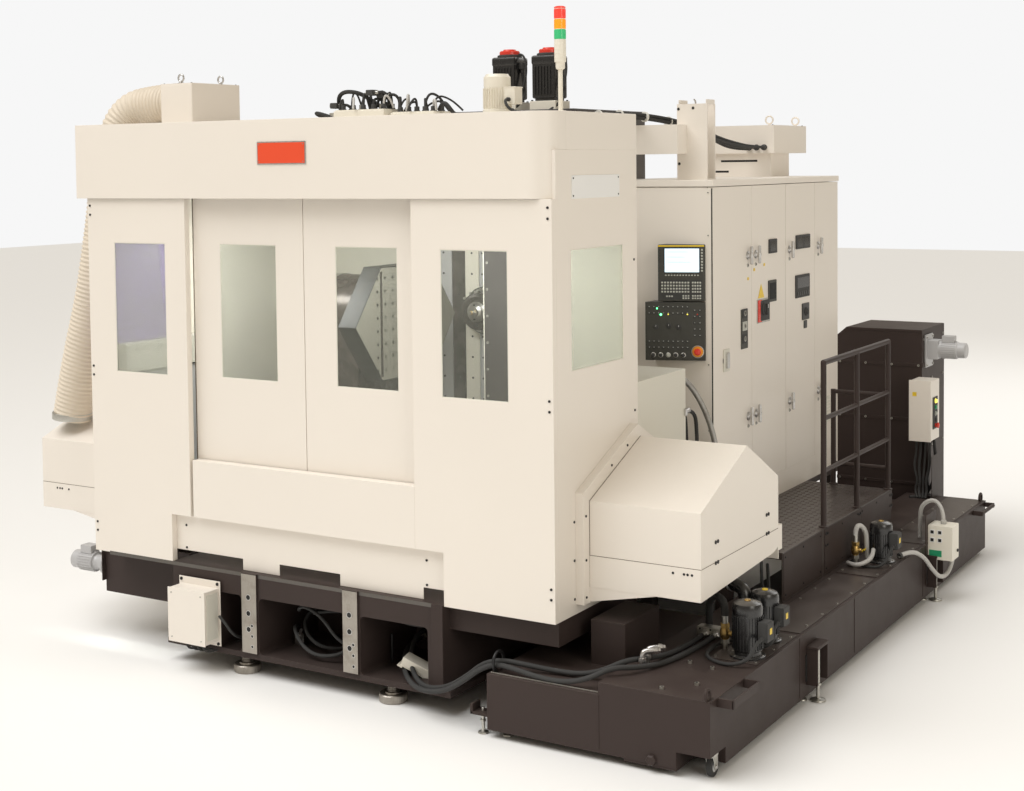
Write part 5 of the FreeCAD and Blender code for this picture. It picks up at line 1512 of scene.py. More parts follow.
    def conveyor_motor(self, motor: Stock) -> None:
        """Gear motor on the conveyor's head, with its torque arm and guard."""
        conveyor = Bounds.of("chip_conveyor")
        x, y, z = conveyor.hi.x, conveyor.lo.y + 150, 1420.0
        motor.box((x, y - 60, z - 70), (x + 90, y + 60, z + 70), GREY_PAINT, 8.0)
        motor.lathe((x + 88, y, z), RIGHT, [(62, 0), (62, 130), (57, 136), (56, 188), (46, 196), (0, 196)],
                    GREY_PAINT, 36)
        motor.fins((-2.5, -2, -52), (3.2, 2, 52), GREY_PAINT, 0.8, at((x + 160, y, z)) @ turned(RIGHT), 26, 62.0)
        motor.box((x + 110, y - 34, z + 55), (x + 200, y + 34, z + 105), GREY_PAINT, 5.0)
        motor.box((x, y - 90, z - 130), (x + 14, y + 90, z + 110), GREY_PAINT, 4.0)
        motor.screws((((x + 14, y + a, z + b), RIGHT) for a in (-74, 74) for b in (-112, 92)), 9.0, 6.0, ZINC)


# ---------------------------------------------------------------- tank
@dataclass
class Tank:
    """Coolant tank with pumps, pipes, handles, rings and lids."""

    def build(self) -> None:
        """Build the tank's pieces."""
        skin("coolant_tank", plain(DARK), Slot.DARK, 3.0)
        block = Bounds.of("coolant_tank")
        self.right, self.top, self.front = block.hi.x, 380.0, block.lo.y
        self.lids()
        self.front_fittings()
        self.pumps()
        self.caster()

    def lids(self) -> None:
        """Cover plates, seams and their screws on the tank's top and side."""
        right, top, front = self.right, self.top, self.front
        item = Stock("tank_lids")
        for y0, y1 in ((450, 1000), (1040, 2260), (2300, 3180), (3220, 4700)):
            item.box((610, y0, top), (right - 14, y1, top + 4), DECK, 1.2)
        item.screws([((x, y, top + 4), UP) for y in range(480, 4700, 235) for x in (628, right - 30)
                     if not 1000 < y < 1040], 7.0, 4.0, ZINC)
        for y in (1000, 1860, 3180):
            item.box((right - 1, y - 3, 60), (right + 2.5, y + 3, top - 2), DARK, 0.8)
        item.box((right - 2, front + 4, top - 8), (right + 6, 4716, top), DARK, 2.0)
        item.box((300, front - 2.5, 60), (306, front + 2, 320), DARK, 0.8)
        item.box((-300, front + 20, 320), (290, front + 23, 326), ZINC, 1.0)
        item.finish(Slot.DARK)

    def front_fittings(self) -> None:
        """Lifting rings, handle, elbow fittings, drain and foot pocket at the front."""
        right, top, front = self.right, self.top, self.front
        item = Stock("tank_fittings")
        spots = [((604, -81, top), UP), ((722, 48, top), UP), ((690, 300, top), UP),
                 ((760, 404, top), UP), ((560, 330, top), UP)]
        item.screws(spots, 11.0, 13.0, ZINC)
        for x, y, z in ((848, -118, top), (-285, -70, 320)):
            big = z < 350
            r = 50.0 if big else 30.0
            item.ring((x, y, z + (46 if big else 22)), RIGHT, r if big else 26, 8, DARK if not big else BLACK_OXIDE)
            item.box((x - 9, y - 14, z - 1), (x + 9, y + 14, z + 10), DARK, 2.0)
        item.box((right, -60, top - 46), (right + 82, -50, top - 4), DARK, 2.0)
        item.box((right, 250, top - 46), (right + 82, 260, top - 4), DARK, 2.0)
        item.box((right + 72, -60, top - 46), (right + 82, 260, top - 4), DARK, 3.0)
        for y in (4380, 4690):
            item.box((right, y - 8, top - 40), (right + 70, y + 8, top - 8), DARK, 3.0)
        item.rod((right + 62, 4380, top - 24), (right + 62, 4690, top - 24), 13, DARK)
        item.ring((right - 22, 4672, top + 26), RIGHT, 28, 9, DARK)
        for x, y in ((392, 150), (392, 205)):
            item.rod((x, y, top), (x, y, top + 40), 15, STEEL, 2.0)
            item.lathe((x, y, top + 34), UP, [(21, 0), (21, 16)], STEEL, 6)
            item.strand([(x, y, top + 46), (x, y, top + 70), (x + 14, y + 10, top + 84),
                         (x + 46, y + 30, top + 84)], 14, STEEL)
            item.lathe((x + 44, y + 29, top + 84), (0.8, 0.55, 0), [(19, 0), (19, 20), (14, 24), (14, 34)],
                       STEEL, 6)
        item.rod((445, 239, top + 84), (463, 251, top + 84), 10, ORANGE, 1.5)
        item.lathe((578, front, 62), FRONT, [(26, 0), (26, 14), (20, 20), (0, 20)], DARK, 6)
        item.box((430, front + 4, 26), (700, front + 220, 42), DARK, 4.0)
        item.box((-420, front + 14, 96), (-312, front + 90, 112), DARK, 3.0)
        item.box((-420, front + 14, 96), (-404, front + 90, 150), DARK, 3.0)
        item.rod((-365, front + 50, 14), (-365, front + 50, 130), 9, ZINC)
        item.lathe((-365, front + 50, 0), UP, [(25, 0), (28, 2), (26, 8), (13, 12), (9, 16)], ZINC, 28)
        item.lathe((-365, front + 50, 60), UP, [(16, 0), (16, 9)], ZINC, 6)
        for y0 in (1080, 3250):
            item.box((right - 2, y0, 120), (right + 6, y0 + 190, 262), MATT_BLACK, 6.0)
            item.box((right, y0 + 14, 100), (right + 62, y0 + 26, 300), DARK, 3.0)
            item.box((right, y0 + 164, 100), (right + 62, y0 + 176, 300), DARK, 3.0)
            item.box((right - 1, y0 + 10, 288), (right + 66, y0 + 180, 304), DARK, 5.0)
            item.rod((right + 34, y0 + 95, 14), (right + 34, y0 + 95, 290), 10, ZINC)
            item.lathe((right + 34, y0 + 95, 0), UP, [(38, 0), (42, 3), (40, 9), (14, 14), (10, 18)], ZINC, 28)
            item.lathe((right + 34, y0 + 95, 84), UP, [(18, 0), (18, 10)], ZINC, 6)
        item.finish(Slot.DARK)

    def valve(self, item: Stock, x: float, y: float, z: float) -> None:
        """Brass ball valve with unions and a lever, standing at x, y from height z."""
        item.rod((x, y, z), (x, y, z + 34), 15, ZINC, 2.0)
        item.lathe((x, y, z + 30), UP, [(23, 0), (23, 22)], ZINC, 8)
        item.lathe((x, y, z + 52), UP, [(18, 0), (24, 12), (27, 30), (24, 48), (18, 60)], BRASS, 28)
        item.lathe((x, y, z + 110), UP, [(24, 0), (24, 22)], BRASS, 6)
        item.rod((x, y, z + 130), (x, y, z + 176), 16, ZINC, 2.0)
        item.lathe((x + 20, y, z + 82), RIGHT, [(14, 0), (14, 18), (8, 20), (8, 30)], BRASS, 20)
        item.box((x + 44, y - 9, z + 78), (x + 50, y + 78, z + 90), YELLOW, 2.5)

    def pumps(self) -> None:
        """Three pumps with fins, cowls, terminal boxes, pipes and cables."""
        item = Stock("pump_set")
        top = self.top
        for index, (x, y, r, h) in enumerate(((763, 564, 74, 280), (740, 850, 70, 262), (762, 2673, 67, 250))):
            item.lathe((x, y, top), UP, [(r + 14, 0), (r + 14, 12), (r + 9, 16), (r - 6, 18), (r - 8, 34),
                                         (r - 2, 40),
                       (r - 2, h - 66), (r + 1, h - 60), (r + 1, h - 30), (r - 6, h - 12), (r * 0.6, h - 2),
                                         (0, h)],
                       BLACK_PAINT, 44)
            item.fins((-3, -1.8, 44), (4.5, 1.8, h - 70), BLACK_PAINT, 0.7, at((x, y, top)), 30, r - 1.5)
            bolt = Stock("bolt")
            bolt.lathe((0, 0, 0), UP, [(6, 0), (6, 5), (0, 6)], ZINC, 6)
            item.circle(bolt, ZINC, at((x, y, top + 14)), 6, r + 4)
            item.box((x + r - 8, y - 38, top + 90), (x + r + 42, y + 38, top + 190), BLACK, 5.0)
            item.box((x + r + 40, y - 40, top + 94), (x + r + 47, y + 40, top + 186), BLACK, 2.5)
            item.box((x + r + 46.5, y - 14, top + 128), (x + r + 48, y + 14, top + 158), YELLOW, 0.6)
            cap = YELLOW if index == 1 else BRASS
            item.lathe((x, y, top + h - 3), UP, [(16, 0), (16, 5), (13, 8), (0, 8)], cap, 20)
            item.rod((x + r + 18, y - 38, top + 110), (x + r + 18, y - 60, top + 110), 11, BLACK)
        item.strand([(855, 504, top + 110), (855, 440, top + 110), (840, 390, top + 40), (760, 360, top + 12),
                     (660, 380, top + 12), (590, 450, top + 12), (570, 560, top + 14), (580, 700, top + 16),
                     (640, 760, top + 16)],
                    9, RUBBER)
        item.strand([(828, 790, top + 110), (826, 740, top + 100), (846, 700, top + 50), (800, 690, top + 14),
                     (700, 700, top + 12), (620, 760, top + 12), (560, 860, top + 12)], 8, RUBBER)
        self.valve(item, 620, 620, top)
        item.strand([(620, 620, top + 170), (620, 620, top + 210), (600, 650, top + 232), (540, 720, top + 236),
                     (470, 800, top + 200), (430, 860, top + 120), (420, 880, top + 12)], 19, RUBBER)
        item.box((400, 770, top), (560, 830, top + 46), ZINC, 3.0)
        item.screws((((x, 769.9, top + 36), FRONT) for x in (418, 476, 540)), 5.0, 3.0)
        for x in (449, 507):
            item.lathe((x, 771, top + 14), FRONT, [(21, 0), (21, 16), (17, 20), (17, 26)], STEEL, 6)
        item.strand([(640, 830, top), (640, 830, top + 150), (640, 836, top + 240), (600, 850, top + 262),
                     (500, 900, top + 262),
                     (380, 980, top + 262), (280, 1060, top + 262), (200, 1120, top + 262)], 34, BLACK_PAINT)
        for x, y in ((560, 867), (430, 944)):
            item.lathe((x, y, top + 262), (-0.78, 0.6, 0), [(38, 0), (38, 14)], STEEL, 28)
        item.rod((560, 1340, 640), (700, 1030, 400), 9, BLACK_OXIDE)
        item.rod((500, 1400, 640), (640, 1080, 400), 9, BLACK_OXIDE)
        self.valve(item, 640, 2560, top)
        item.strand([(640, 2560, top + 172), (640, 2560, top + 214), (662, 2580, top + 236), (690, 2610, top + 190),
                     (690, 2620, top + 100), (690, 2630, top + 30)], 15, PVC)
        item.strand([(620, 2480, top + 20), (660, 2430, top + 24), (720, 2440, top + 30), (760, 2520, top + 60),
                     (740, 2590, top + 90)], 13, PVC)
        item.strand([(847, 2611, top + 110), (846, 2560, top + 80), (820, 2500, top + 14), (740, 2470, top + 12),
                     (660, 2500, top + 12), (600, 2600, top + 12), (590, 2760, top + 12)], 8, RUBBER)
        item.finish(Slot.MOTOR, replaces=("coolant_pumps",))

    def caster(self) -> None:
        """Swivel caster: fork with rivets and a tyred wheel."""
        x, y = 832.0, -41.0
        fork = Stock("caster_fork_detail")
        fork.lathe((x, y, 103.7), UP, [(30, 0), (32, 3), (32, 11), (30, 14)], ZINC, 28)
        fork.lathe((x, y, 90), UP, [(20, 0), (26, 6), (26, 14)], ZINC, 28)
        for side in (-1, 1):
            a, b = sorted((x + side * 17, x + side * 21))
            fork.prism([(y - 22, 102), (y + 28, 102), (y + 26, 40), (y + 8, 30), (y - 6, 38)], "x", a, b, ZINC, 1.2)
            fork.lathe((x + side * 20, y + 8, 46), (side, 0, 0), [(10, 0), (10, 5), (7, 7), (0, 7)], STEEL, 6)
        fork.box((x - 21, y - 20, 96), (x + 21, y + 28, 101), ZINC, 1.2)
        fork.finish(Slot.STEEL, "caster_fork", ("caster_fork",))
        wheel = Stock("caster_tyre")
        wheel.lathe((x - 15.3, y + 8, 46), RIGHT, [(30, 2), (40, 0), (45, 3), (46, 10), (46, 21), (45, 27.6),
                                                   (40, 30.6),
                                                       (30, 28.6)], RUBBER, 40)
        wheel.lathe((x - 14.6, y + 8, 46), RIGHT, [(9, -1), (16, 0), (31, 2), (31, 27), (16, 29.2), (9, 30)],
                    GREY_PAINT, 32)
        wheel.finish(Slot.BLACK_PLASTIC, "caster_wheel", ("caster_wheel",))


# ---------------------------------------------------------------- roof
@dataclass
class RoofGear:
    """Everything on the roof: drives, cables, junction boxes, tower, collector and duct."""

    duct_radius: float = 118.0
    level: float = 3065.0
    duct_route: tuple[tuple[float, float, float], ...] = (
        (-2920, 620, 3205), (-3090, 620, 3205), (-3330, 560, 3160), (-3400, 500, 2850), (-3430, 460, 2450),
        (-3500, 430, 2000), (-3610, 405, 1600), (-3690, 400, 1252))

    def build(self) -> None:
        """Build the roof's pieces."""
        self.collector()
        self.servos()
        self.fan_motor()
        self.cable_boxes()
        self.tower()
        self.rear_frame()
        self.hoses()

    def collector(self) -> None:
        """Mist collector with its lifting eyes, and the ribbed duct down to the left hood."""
        place = Bounds.of("mist_collector")
        lo, hi = place.lo, place.hi
        top = lo.z + 249
        item = Stock("mist_collector_body")
        item.box((lo.x, lo.y, lo.z), (hi.x, hi.y, top), CREAM, 3.0)
        item.box((lo.x + 6, lo.y - 1.5, lo.z + 6), (hi.x - 6, lo.y + 4, top - 8), CREAM, 2.0)
        for x, y in ((lo.x + 110, lo.y + 60), (lo.x + 150, hi.y - 60)):
            item.lathe((x, y, top - 1), UP, [(19, 0), (19, 6), (11, 9), (10, 14)], STEEL, 24)
            item.ring((x, y, top + 34), (0, 1, 0), 21, 5.5, STEEL)
        item.screws((((x, y, top), UP) for x in (lo.x + 16, hi.x - 16) for y in (lo.y + 16, hi.y - 16)), 5.0, 3.0)
        item.finish(Slot.CREAM, replaces=("mist_collector",))
        mesh = RecipeBook.get("duct").grow(nurbs(self.duct_route, 0.0, resolution=24),
                                           {"Radius": self.duct_radius, "Pitch": 27.0, "Rib": 3.6,
                                            "Finish": DUCT.material()})
        duct = Stock("ribbed_duct")
        duct.take_mesh(mesh, DUCT)
        duct.lathe((lo.x + 2, 620, 3205), LEFT, [(118, 0), (122, 3), (122, 42), (118, 46)], ZINC, 44)
        duct.lathe((-3690, 400, 1246), (0.06, 0.0, 1), [(121, 0), (124, 3), (124, 40), (119, 44)], ZINC, 44)
        duct.finish(Slot.DUCT, replaces=("exhaust_duct",), smooth=60)

    def servos(self) -> None:
        """Two black servo motors with red encoder caps on their mounts, and their cable loops."""
        item = Stock("feed_servos")
        for x in (-1554.0, -1260.0):
            y = 2237.0
            item.box((x - 95, y - 95, 3150), (x + 95, y + 95, 3210), IVORY, 4.0)
            item.box((x - 69.5, y - 69.5, 3210), (x + 69.5, y + 69.5, 3236), BLACK_PAINT, 6.0)
            item.box((x - 84, y - 84, 3226), (x + 84, y + 84, 3490), BLACK_PAINT, 12.0)
            item.box((x - 88, y - 88, 3440), (x + 88, y + 88, 3500), BLACK_PAINT, 14.0)
            item.lathe((x, y, 3498), UP, [(76, 0), (80, 3), (80, 14), (72, 18)], BLACK, 36)
            item.lathe((x, y, 3513), UP, [(66, 0), (66, 22), (60, 28), (44, 30), (40, 38), (0, 38)], STOP_RED, 36)
            for k in range(6):
                for side in (-1, 1):
                    item.box((x - 62 + k * 22, y + side * 86 - 4, 3250), (x - 54 + k * 22, y + side * 86 + 4, 3430),
                             BLACK_PAINT, 1.2)
            item.box((x + 82, y - 30, 3420), (x + 112, y + 14, 3462), BLACK, 4.0)
            item.rod((x + 98, y - 8, 3420), (x + 98, y - 8, 3396), 13, BLACK, 2.0)
            item.screws((((x + a, y + b, 3210), UP) for a in (-82, 82) for b in (-82, 82)), 7.0, 7.0)
            item.strand([(x + 98, y - 8, 3400), (x + 106, y - 10, 3330), (x + 136, y - 40, 3240),
                         (x + 90, y - 84, 3170),
                         (x + 20, y - 110, 3130), (x + 10, y - 130, 3080)], 9, RUBBER)
            item.strand([(x + 60, y + 4, 3515), (x + 110, y - 4, 3530), (x + 150, y - 30, 3380),
                         (x + 88, y - 60, 3200),
                         (x + 40, y - 120, 3100)], 7, RUBBER)
        item.finish(Slot.MOTOR)

    def fan_motor(self) -> None:
        """Cream ribbed fan motor with its cowl and terminal box."""
        x, y = -660.0, 600.0
        item = Stock("fan_motor")
        item.lathe((x, y, self.level), UP, [(96, 0), (96, 10), (78, 12), (78, 34), (70, 38), (69, 150), (72, 154),
                                            (72, 206),
                                             (64, 214), (60, 222), (0, 222)], IVORY, 44)
        item.fins((-3, -1.8, 40), (6.5, 1.8, 148), IVORY, 0.8, at((x, y, self.level)), 34, 70.0)
        item.box((x + 60, y - 40, 3125), (x + 132, y + 40, 3215), IVORY, 5.0)
        item.box((x + 58, y - 42, 3211), (x + 134, y + 42, 3217), IVORY, 2.0)
        item.rod((x + 96, y - 40, 3150), (x + 96, y - 58, 3150), 11, BLACK)
        item.strand([(x + 96, y - 56, 3150), (x + 100, y - 100, 3146), (x + 140, y - 110, 3090),
                     (x + 200, y - 60, 3078),
                     (x + 220, y + 60, 3076), (x + 160, y + 180, 3076), (x + 40, y + 318, 3076)], 8, RUBBER)
        bolt = Stock("bolt")
        bolt.lathe((0, 0, 0), UP, [(6, 0), (6, 5), (0, 6)], ZINC, 6)
        item.circle(bolt, ZINC, at((x, y, 3075)), 8, 87.0)
        item.finish(Slot.CREAM)

    def cable_boxes(self) -> None:
        """Terminal boxes in the roof's middle with connectors and looping cables."""
        item = Stock("roof_terminal_boxes")
        boxes = ((-1676, -1330, 500, 760, 3177), (-1300, -1013, 520, 740, 3157))
        draw = random.Random(4)
        for x0, x1, y0, y1, z1 in boxes:
            item.box((x0, y0, self.level), (x1, y1, z1 - 60), IVORY, 4.0)
            item.box((x0 + 8, y0 + 8, z1 - 62), (x1 - 8, y1 - 8, z1 - 54), IVORY, 2.0)
            for k in range(5):
                x = x0 + 34 + k * (x1 - x0 - 68) / 4
                item.lathe((x, y0 + 50, z1 - 56), UP, [(17, 0), (17, 8), (14, 10), (14, 26), (11, 30)], BLACK, 20)
                item.lathe((x, y0 + 130, z1 - 56), UP, [(20, 0), (20, 10), (16, 12), (16, 32)],
                           ZINC if k % 2 else BLACK, 6)
                item.strand(self.loose_cable(draw, Vector((x, y0 + 50, z1 - 34)), z1), 6.0 + 2.5 * draw.random(),
                            (RUBBER, PVC, RUBBER)[k % 3])
                item.strand(self.loose_cable(draw, Vector((x, y0 + 130, z1 - 34)), z1), 5.0 + 2.0 * draw.random(),
                            RUBBER)
        for x, y, z in ((-1450, 560, 3215), (-1404, 600, 3200), (-1700, 560, 3150)):
            item.box((x - 24, y - 30, z - 16), (x + 24, y + 30, z + 16), BLACK, 5.0)
            item.rod((x - 40, y, z), (x + 46, y, z), 11, ZINC, 2.0)
            item.strand([(x + 44, y, z), (x + 80, y, z + 10), (x + 100, y + 30, z - 40), (x + 60, y + 60, z - 100)],
                        8, RUBBER)
            item.strand([(x, y + 28, z), (x + 4, y + 70, z - 10), (x - 20, y + 80, z - 60), (x - 30, y + 60, 3100)],
                        8, RUBBER)
        item.box((-1720, 520, self.level), (-1690, 740, 3110), ZINC, 3.0)
        item.strand([(-1712, 640, 3100), (-1722, 600, 3170), (-1660, 560, 3230), (-1560, 590, 3222),
                     (-1500, 640, 3170),
                     (-1450, 700, 3120)], 12, RUBBER)
        item.strand([(-1030, 600, 3110), (-980, 560, 3160), (-930, 560, 3110), (-930, 600, 3078), (-880, 760, 3074),
                     (-760, 918, 3074)], 11, RUBBER)
        item.strand([(-1690, 530, 3080), (-1800, 500, 3120), (-1840, 560, 3100), (-1780, 640, 3078),
                     (-1690, 700, 3080)],
                    9, RUBBER)
        item.finish(Slot.CREAM, replaces=("roof_drives",))

    @staticmethod
    def loose_cable(draw: random.Random, start: Vector, level: float) -> list[Vector]:
        """Line of a cable that loops up from a gland and down again.

        Args:
            draw: Seeded source of chance.
            start: Where the cable leaves its gland.
            level: Height of the box that it lies on.

        Returns:
            Control points.
        """
        reach = draw.uniform(-60, 130)
        rise = draw.uniform(5, 62)
        drift = draw.uniform(-90, 110)
        return [start, start + Vector((0, 0, 30)), start + Vector((0.25 * reach, 0.2 * drift, 30 + rise)),
                start + Vector((0.7 * reach, 0.6 * drift, 20 + rise * draw.uniform(0.5, 1.0))),
                start + Vector((reach, drift, 8)), Vector((start.x + reach * 1.15, start.y + drift * 1.2,
                                                           level - 50))]

    def tower(self) -> None:
        """Signal tower: foot, pole, cream body, three lenses with ribs and a cap."""
        x, y = -210.0, 480.0
        item = Stock("signal_light")
        item.lathe((x, y, self.level), UP, [(32, 0), (32, 8), (26, 14), (15, 16)], IVORY, 32)
        item.rod((x, y, 3075), (x, y, 3300), 12, IVORY)
        item.lathe((x, y, 3286), UP, [(13, 0), (22, 6), (24, 14), (24, 38), (28, 44)], IVORY, 32)
        item.lathe((x, y, 3325), UP, [(28, 0), (30, 4), (30, 112), (28, 116)], IVORY, 36)
        for k in range(4):
            item.lathe((x, y, 3345 + 22 * k), UP, [(30, 0), (30.8, 1), (30.8, 4), (30, 5)], IVORY, 36)
        for k, lens in enumerate((LENS_GREEN, LENS_AMBER, LENS_RED)):
            z = 3441 + 52 * k
            item.lathe((x, y, z), UP, [(28, 0), (29.6, 2), (29.6, 48), (28, 50)], lens, 40)
            item.lathe((x, y, z + 49), UP, [(27, 0), (28.6, 1), (28.6, 3), (27, 4)], IVORY, 36)
            item.fins((-0.8, -1.1, 4), (0.9, 1.1, 46), lens, 0.4, at((x, y, z)), 30, 29.4)
        item.lathe((x, y, 3597), UP, [(29, 0), (30, 2), (29, 8), (20, 12), (0, 12)], LENS_RED, 36)
        item.finish(Slot.TOWER, replaces=("signal_tower",))

    def rear_frame(self) -> None:
        """Beam, cable post and transformer box behind the guard."""
        skin("rear_frame", plain(CREAM), Slot.CREAM)
        top = 3057.0
        item = Stock("rear_frame_fittings")
        for x, z in ((-275, 3126), (-271, 2939), (-271, 2800), (-180, 3130)):
            item.lathe((x, 2050.2, z), FRONT, [(10, 0), (10, 0.8), (8, 1.0), (8, 0.3), (0, 0.3)], ZINC, 16)
            item.lathe((x, 2049.9, z), FRONT, [(7.5, 0), (7.5, 0.4), (0, 0.4)], MATT_BLACK, 16)
        item.box((-700, 3679, 2806), (-430, 3682, 2820), MATT_BLACK, 1.0)
        item.box((-742, 3679, 2733), (-642, 3682, 2747), MATT_BLACK, 1.0)
        for x in (-474, -420, -364):
            item.lathe((x, 3643, 2905), FRONT, [(21, 0), (21, 8), (17, 10), (17, 30), (12, 34)], BLACK, 20)
        for x in (-276, -100):
            item.box((x, 2052, 3150), (x + 8, 2168, 3180), CREAM, 2.0)
        item.ring((-200, 2110, 3160), RIGHT, 22, 5, STEEL, 180.0, 0.0)
        item.screws((((x, y, top), UP) for x in (-840, -314) for y in (3670, 4240)), 6.0, 4.0)
        item.finish(Slot.CREAM)

    def hoses(self) -> None:
        """Cable bundle with its ties, hydraulic hoses with fittings and the grey conduits."""
        bundle = Stock("cable_bundle")
        route = [(-700, 920.3, 3010), (-700, 1080, 3010), (-610, 1400, 3075), (-500, 1850, 3100),
                 (-400, 2400, 3050),
                 (-430, 2950, 2960), (-480, 3350, 2905), (-480, 3641.7, 2905)]
        offsets = ((0, 0, 0), (15, 2, 9), (-14, 0, 8), (6, 0, -14), (-9, 0, -12), (16, 0, -8))
        for k, (dx, dy, dz) in enumerate(offsets):
            line = [(x + dx, y + dy, z + dz) for x, y, z in route]
            if k in (1, 3):
                line[-2:] = [(-430 + dx, 3350, 2915 + dz), (-420, 3641.7, 2905)]
            if k in (2, 5):
                line[-2:] = [(-400 + dx, 3350, 2910 + dz), (-364, 3641.7, 2905)]
            bundle.strand(line, 9.0 if k < 4 else 7.0, RUBBER)
        for x, y, z, way in ((-604, 1420, 3076, (0.25, 0.95, 0.12)), (-566, 1580, 3086, (0.25, 0.95, 0.1)),
                             (-522, 1760, 3092, (0.25, 0.95, 0.05)), (-470, 1990, 3084, (0.2, 0.97, -0.06)),
                             (-436, 2250, 3060, (0.1, 0.97, -0.12)), (-424, 2560, 3022, (0.0, 0.97, -0.16)),
                             (-434, 2860, 2978, (-0.1, 0.97, -0.16))):
            bundle.lathe(Vector((x, y, z)) - Vector(way) * 5, way, [(29, 0), (31, 1), (31, 11), (29, 12)], TIE, 20)
        bundle.finish(Slot.HOSE)
        item = Stock("shoulder_hoses")
        routes = (([(-80, 1526.3, 1590), (-80, 1620, 1590), (-40, 1730, 1500), (20, 1800, 1330), (50, 1850, 1130),
                    (52, 1862, 930),
                    (52, 1862, 659.3)], 17),
                  ([(-66, 1526.3, 1400), (-66, 1630, 1400), (-66, 1690, 1290), (-66, 1690, 659.3)], 11),
                  ([(-8, 1526.3, 1400), (-8, 1640, 1400), (-8, 1710, 1290), (-8, 1710, 659.3)], 11))
        for line, radius in routes:
            item.strand(line, radius, BRAID if radius > 12 else RUBBER, 12)
            start = Vector(line[0])
            item.lathe(start, (0, 1, 0), [(radius + 9, 0), (radius + 9, 12)], STEEL, 6)
            item.lathe(start + Vector((0, 10, 0)), (0, 1, 0),
                       [(radius + 3, 0), (radius + 5, 3), (radius + 5, 44), (radius + 1, 50)],
                       STEEL, 24)
            foot = Vector(line[-1])
            item.lathe(foot, UP, [(radius + 8, 0), (radius + 8, 14), (radius + 4, 18), (radius + 4, 52),
                                  (radius + 1, 56)],
                       STEEL, 24)
        for x, z in ((-66, 1400), (-8, 1400)):
            item.box((x - 20, 1500, z - 20), (x + 20, 1528, z + 20), STEEL, 3.0)
        item.box((-100, 1532, 1606), (-58, 1546, 1624), ZINC, 2.0)
        item.finish(Slot.HOSE)
        grey = Stock("grey_conduits")
        for line in ([(835, 2790, 398), (880, 2880, 418), (930, 2985, 365), (952, 3110, 250), (960, 3260, 170),
                      (962, 3420, 165),
                      (962, 3530, 230), (960, 3560, 320), (960, 3500, 385), (960, 3420.3, 385)],
                     [(950, 3350, 497.3), (950, 3350, 580), (890, 3365, 650), (800, 3380, 600), (790, 3385, 500),
                      (790, 3385, 380.3)]):
            mesh = RecipeBook.get("duct").grow(nurbs(line, 0.0, resolution=24),
                                               {"Radius": 12.6, "Pitch": 7.0, "Rib": 0.8, "Finish": PVC.material()})
            grey.take_mesh(mesh, PVC)
            grey.lathe(line[0], Vector(line[1]) - Vector(line[0]), [(18, 0), (18, 16), (15, 20)], BLACK, 16)
        grey.finish(Slot.GREY_PLASTIC, replaces=("held_hoses",), smooth=60)


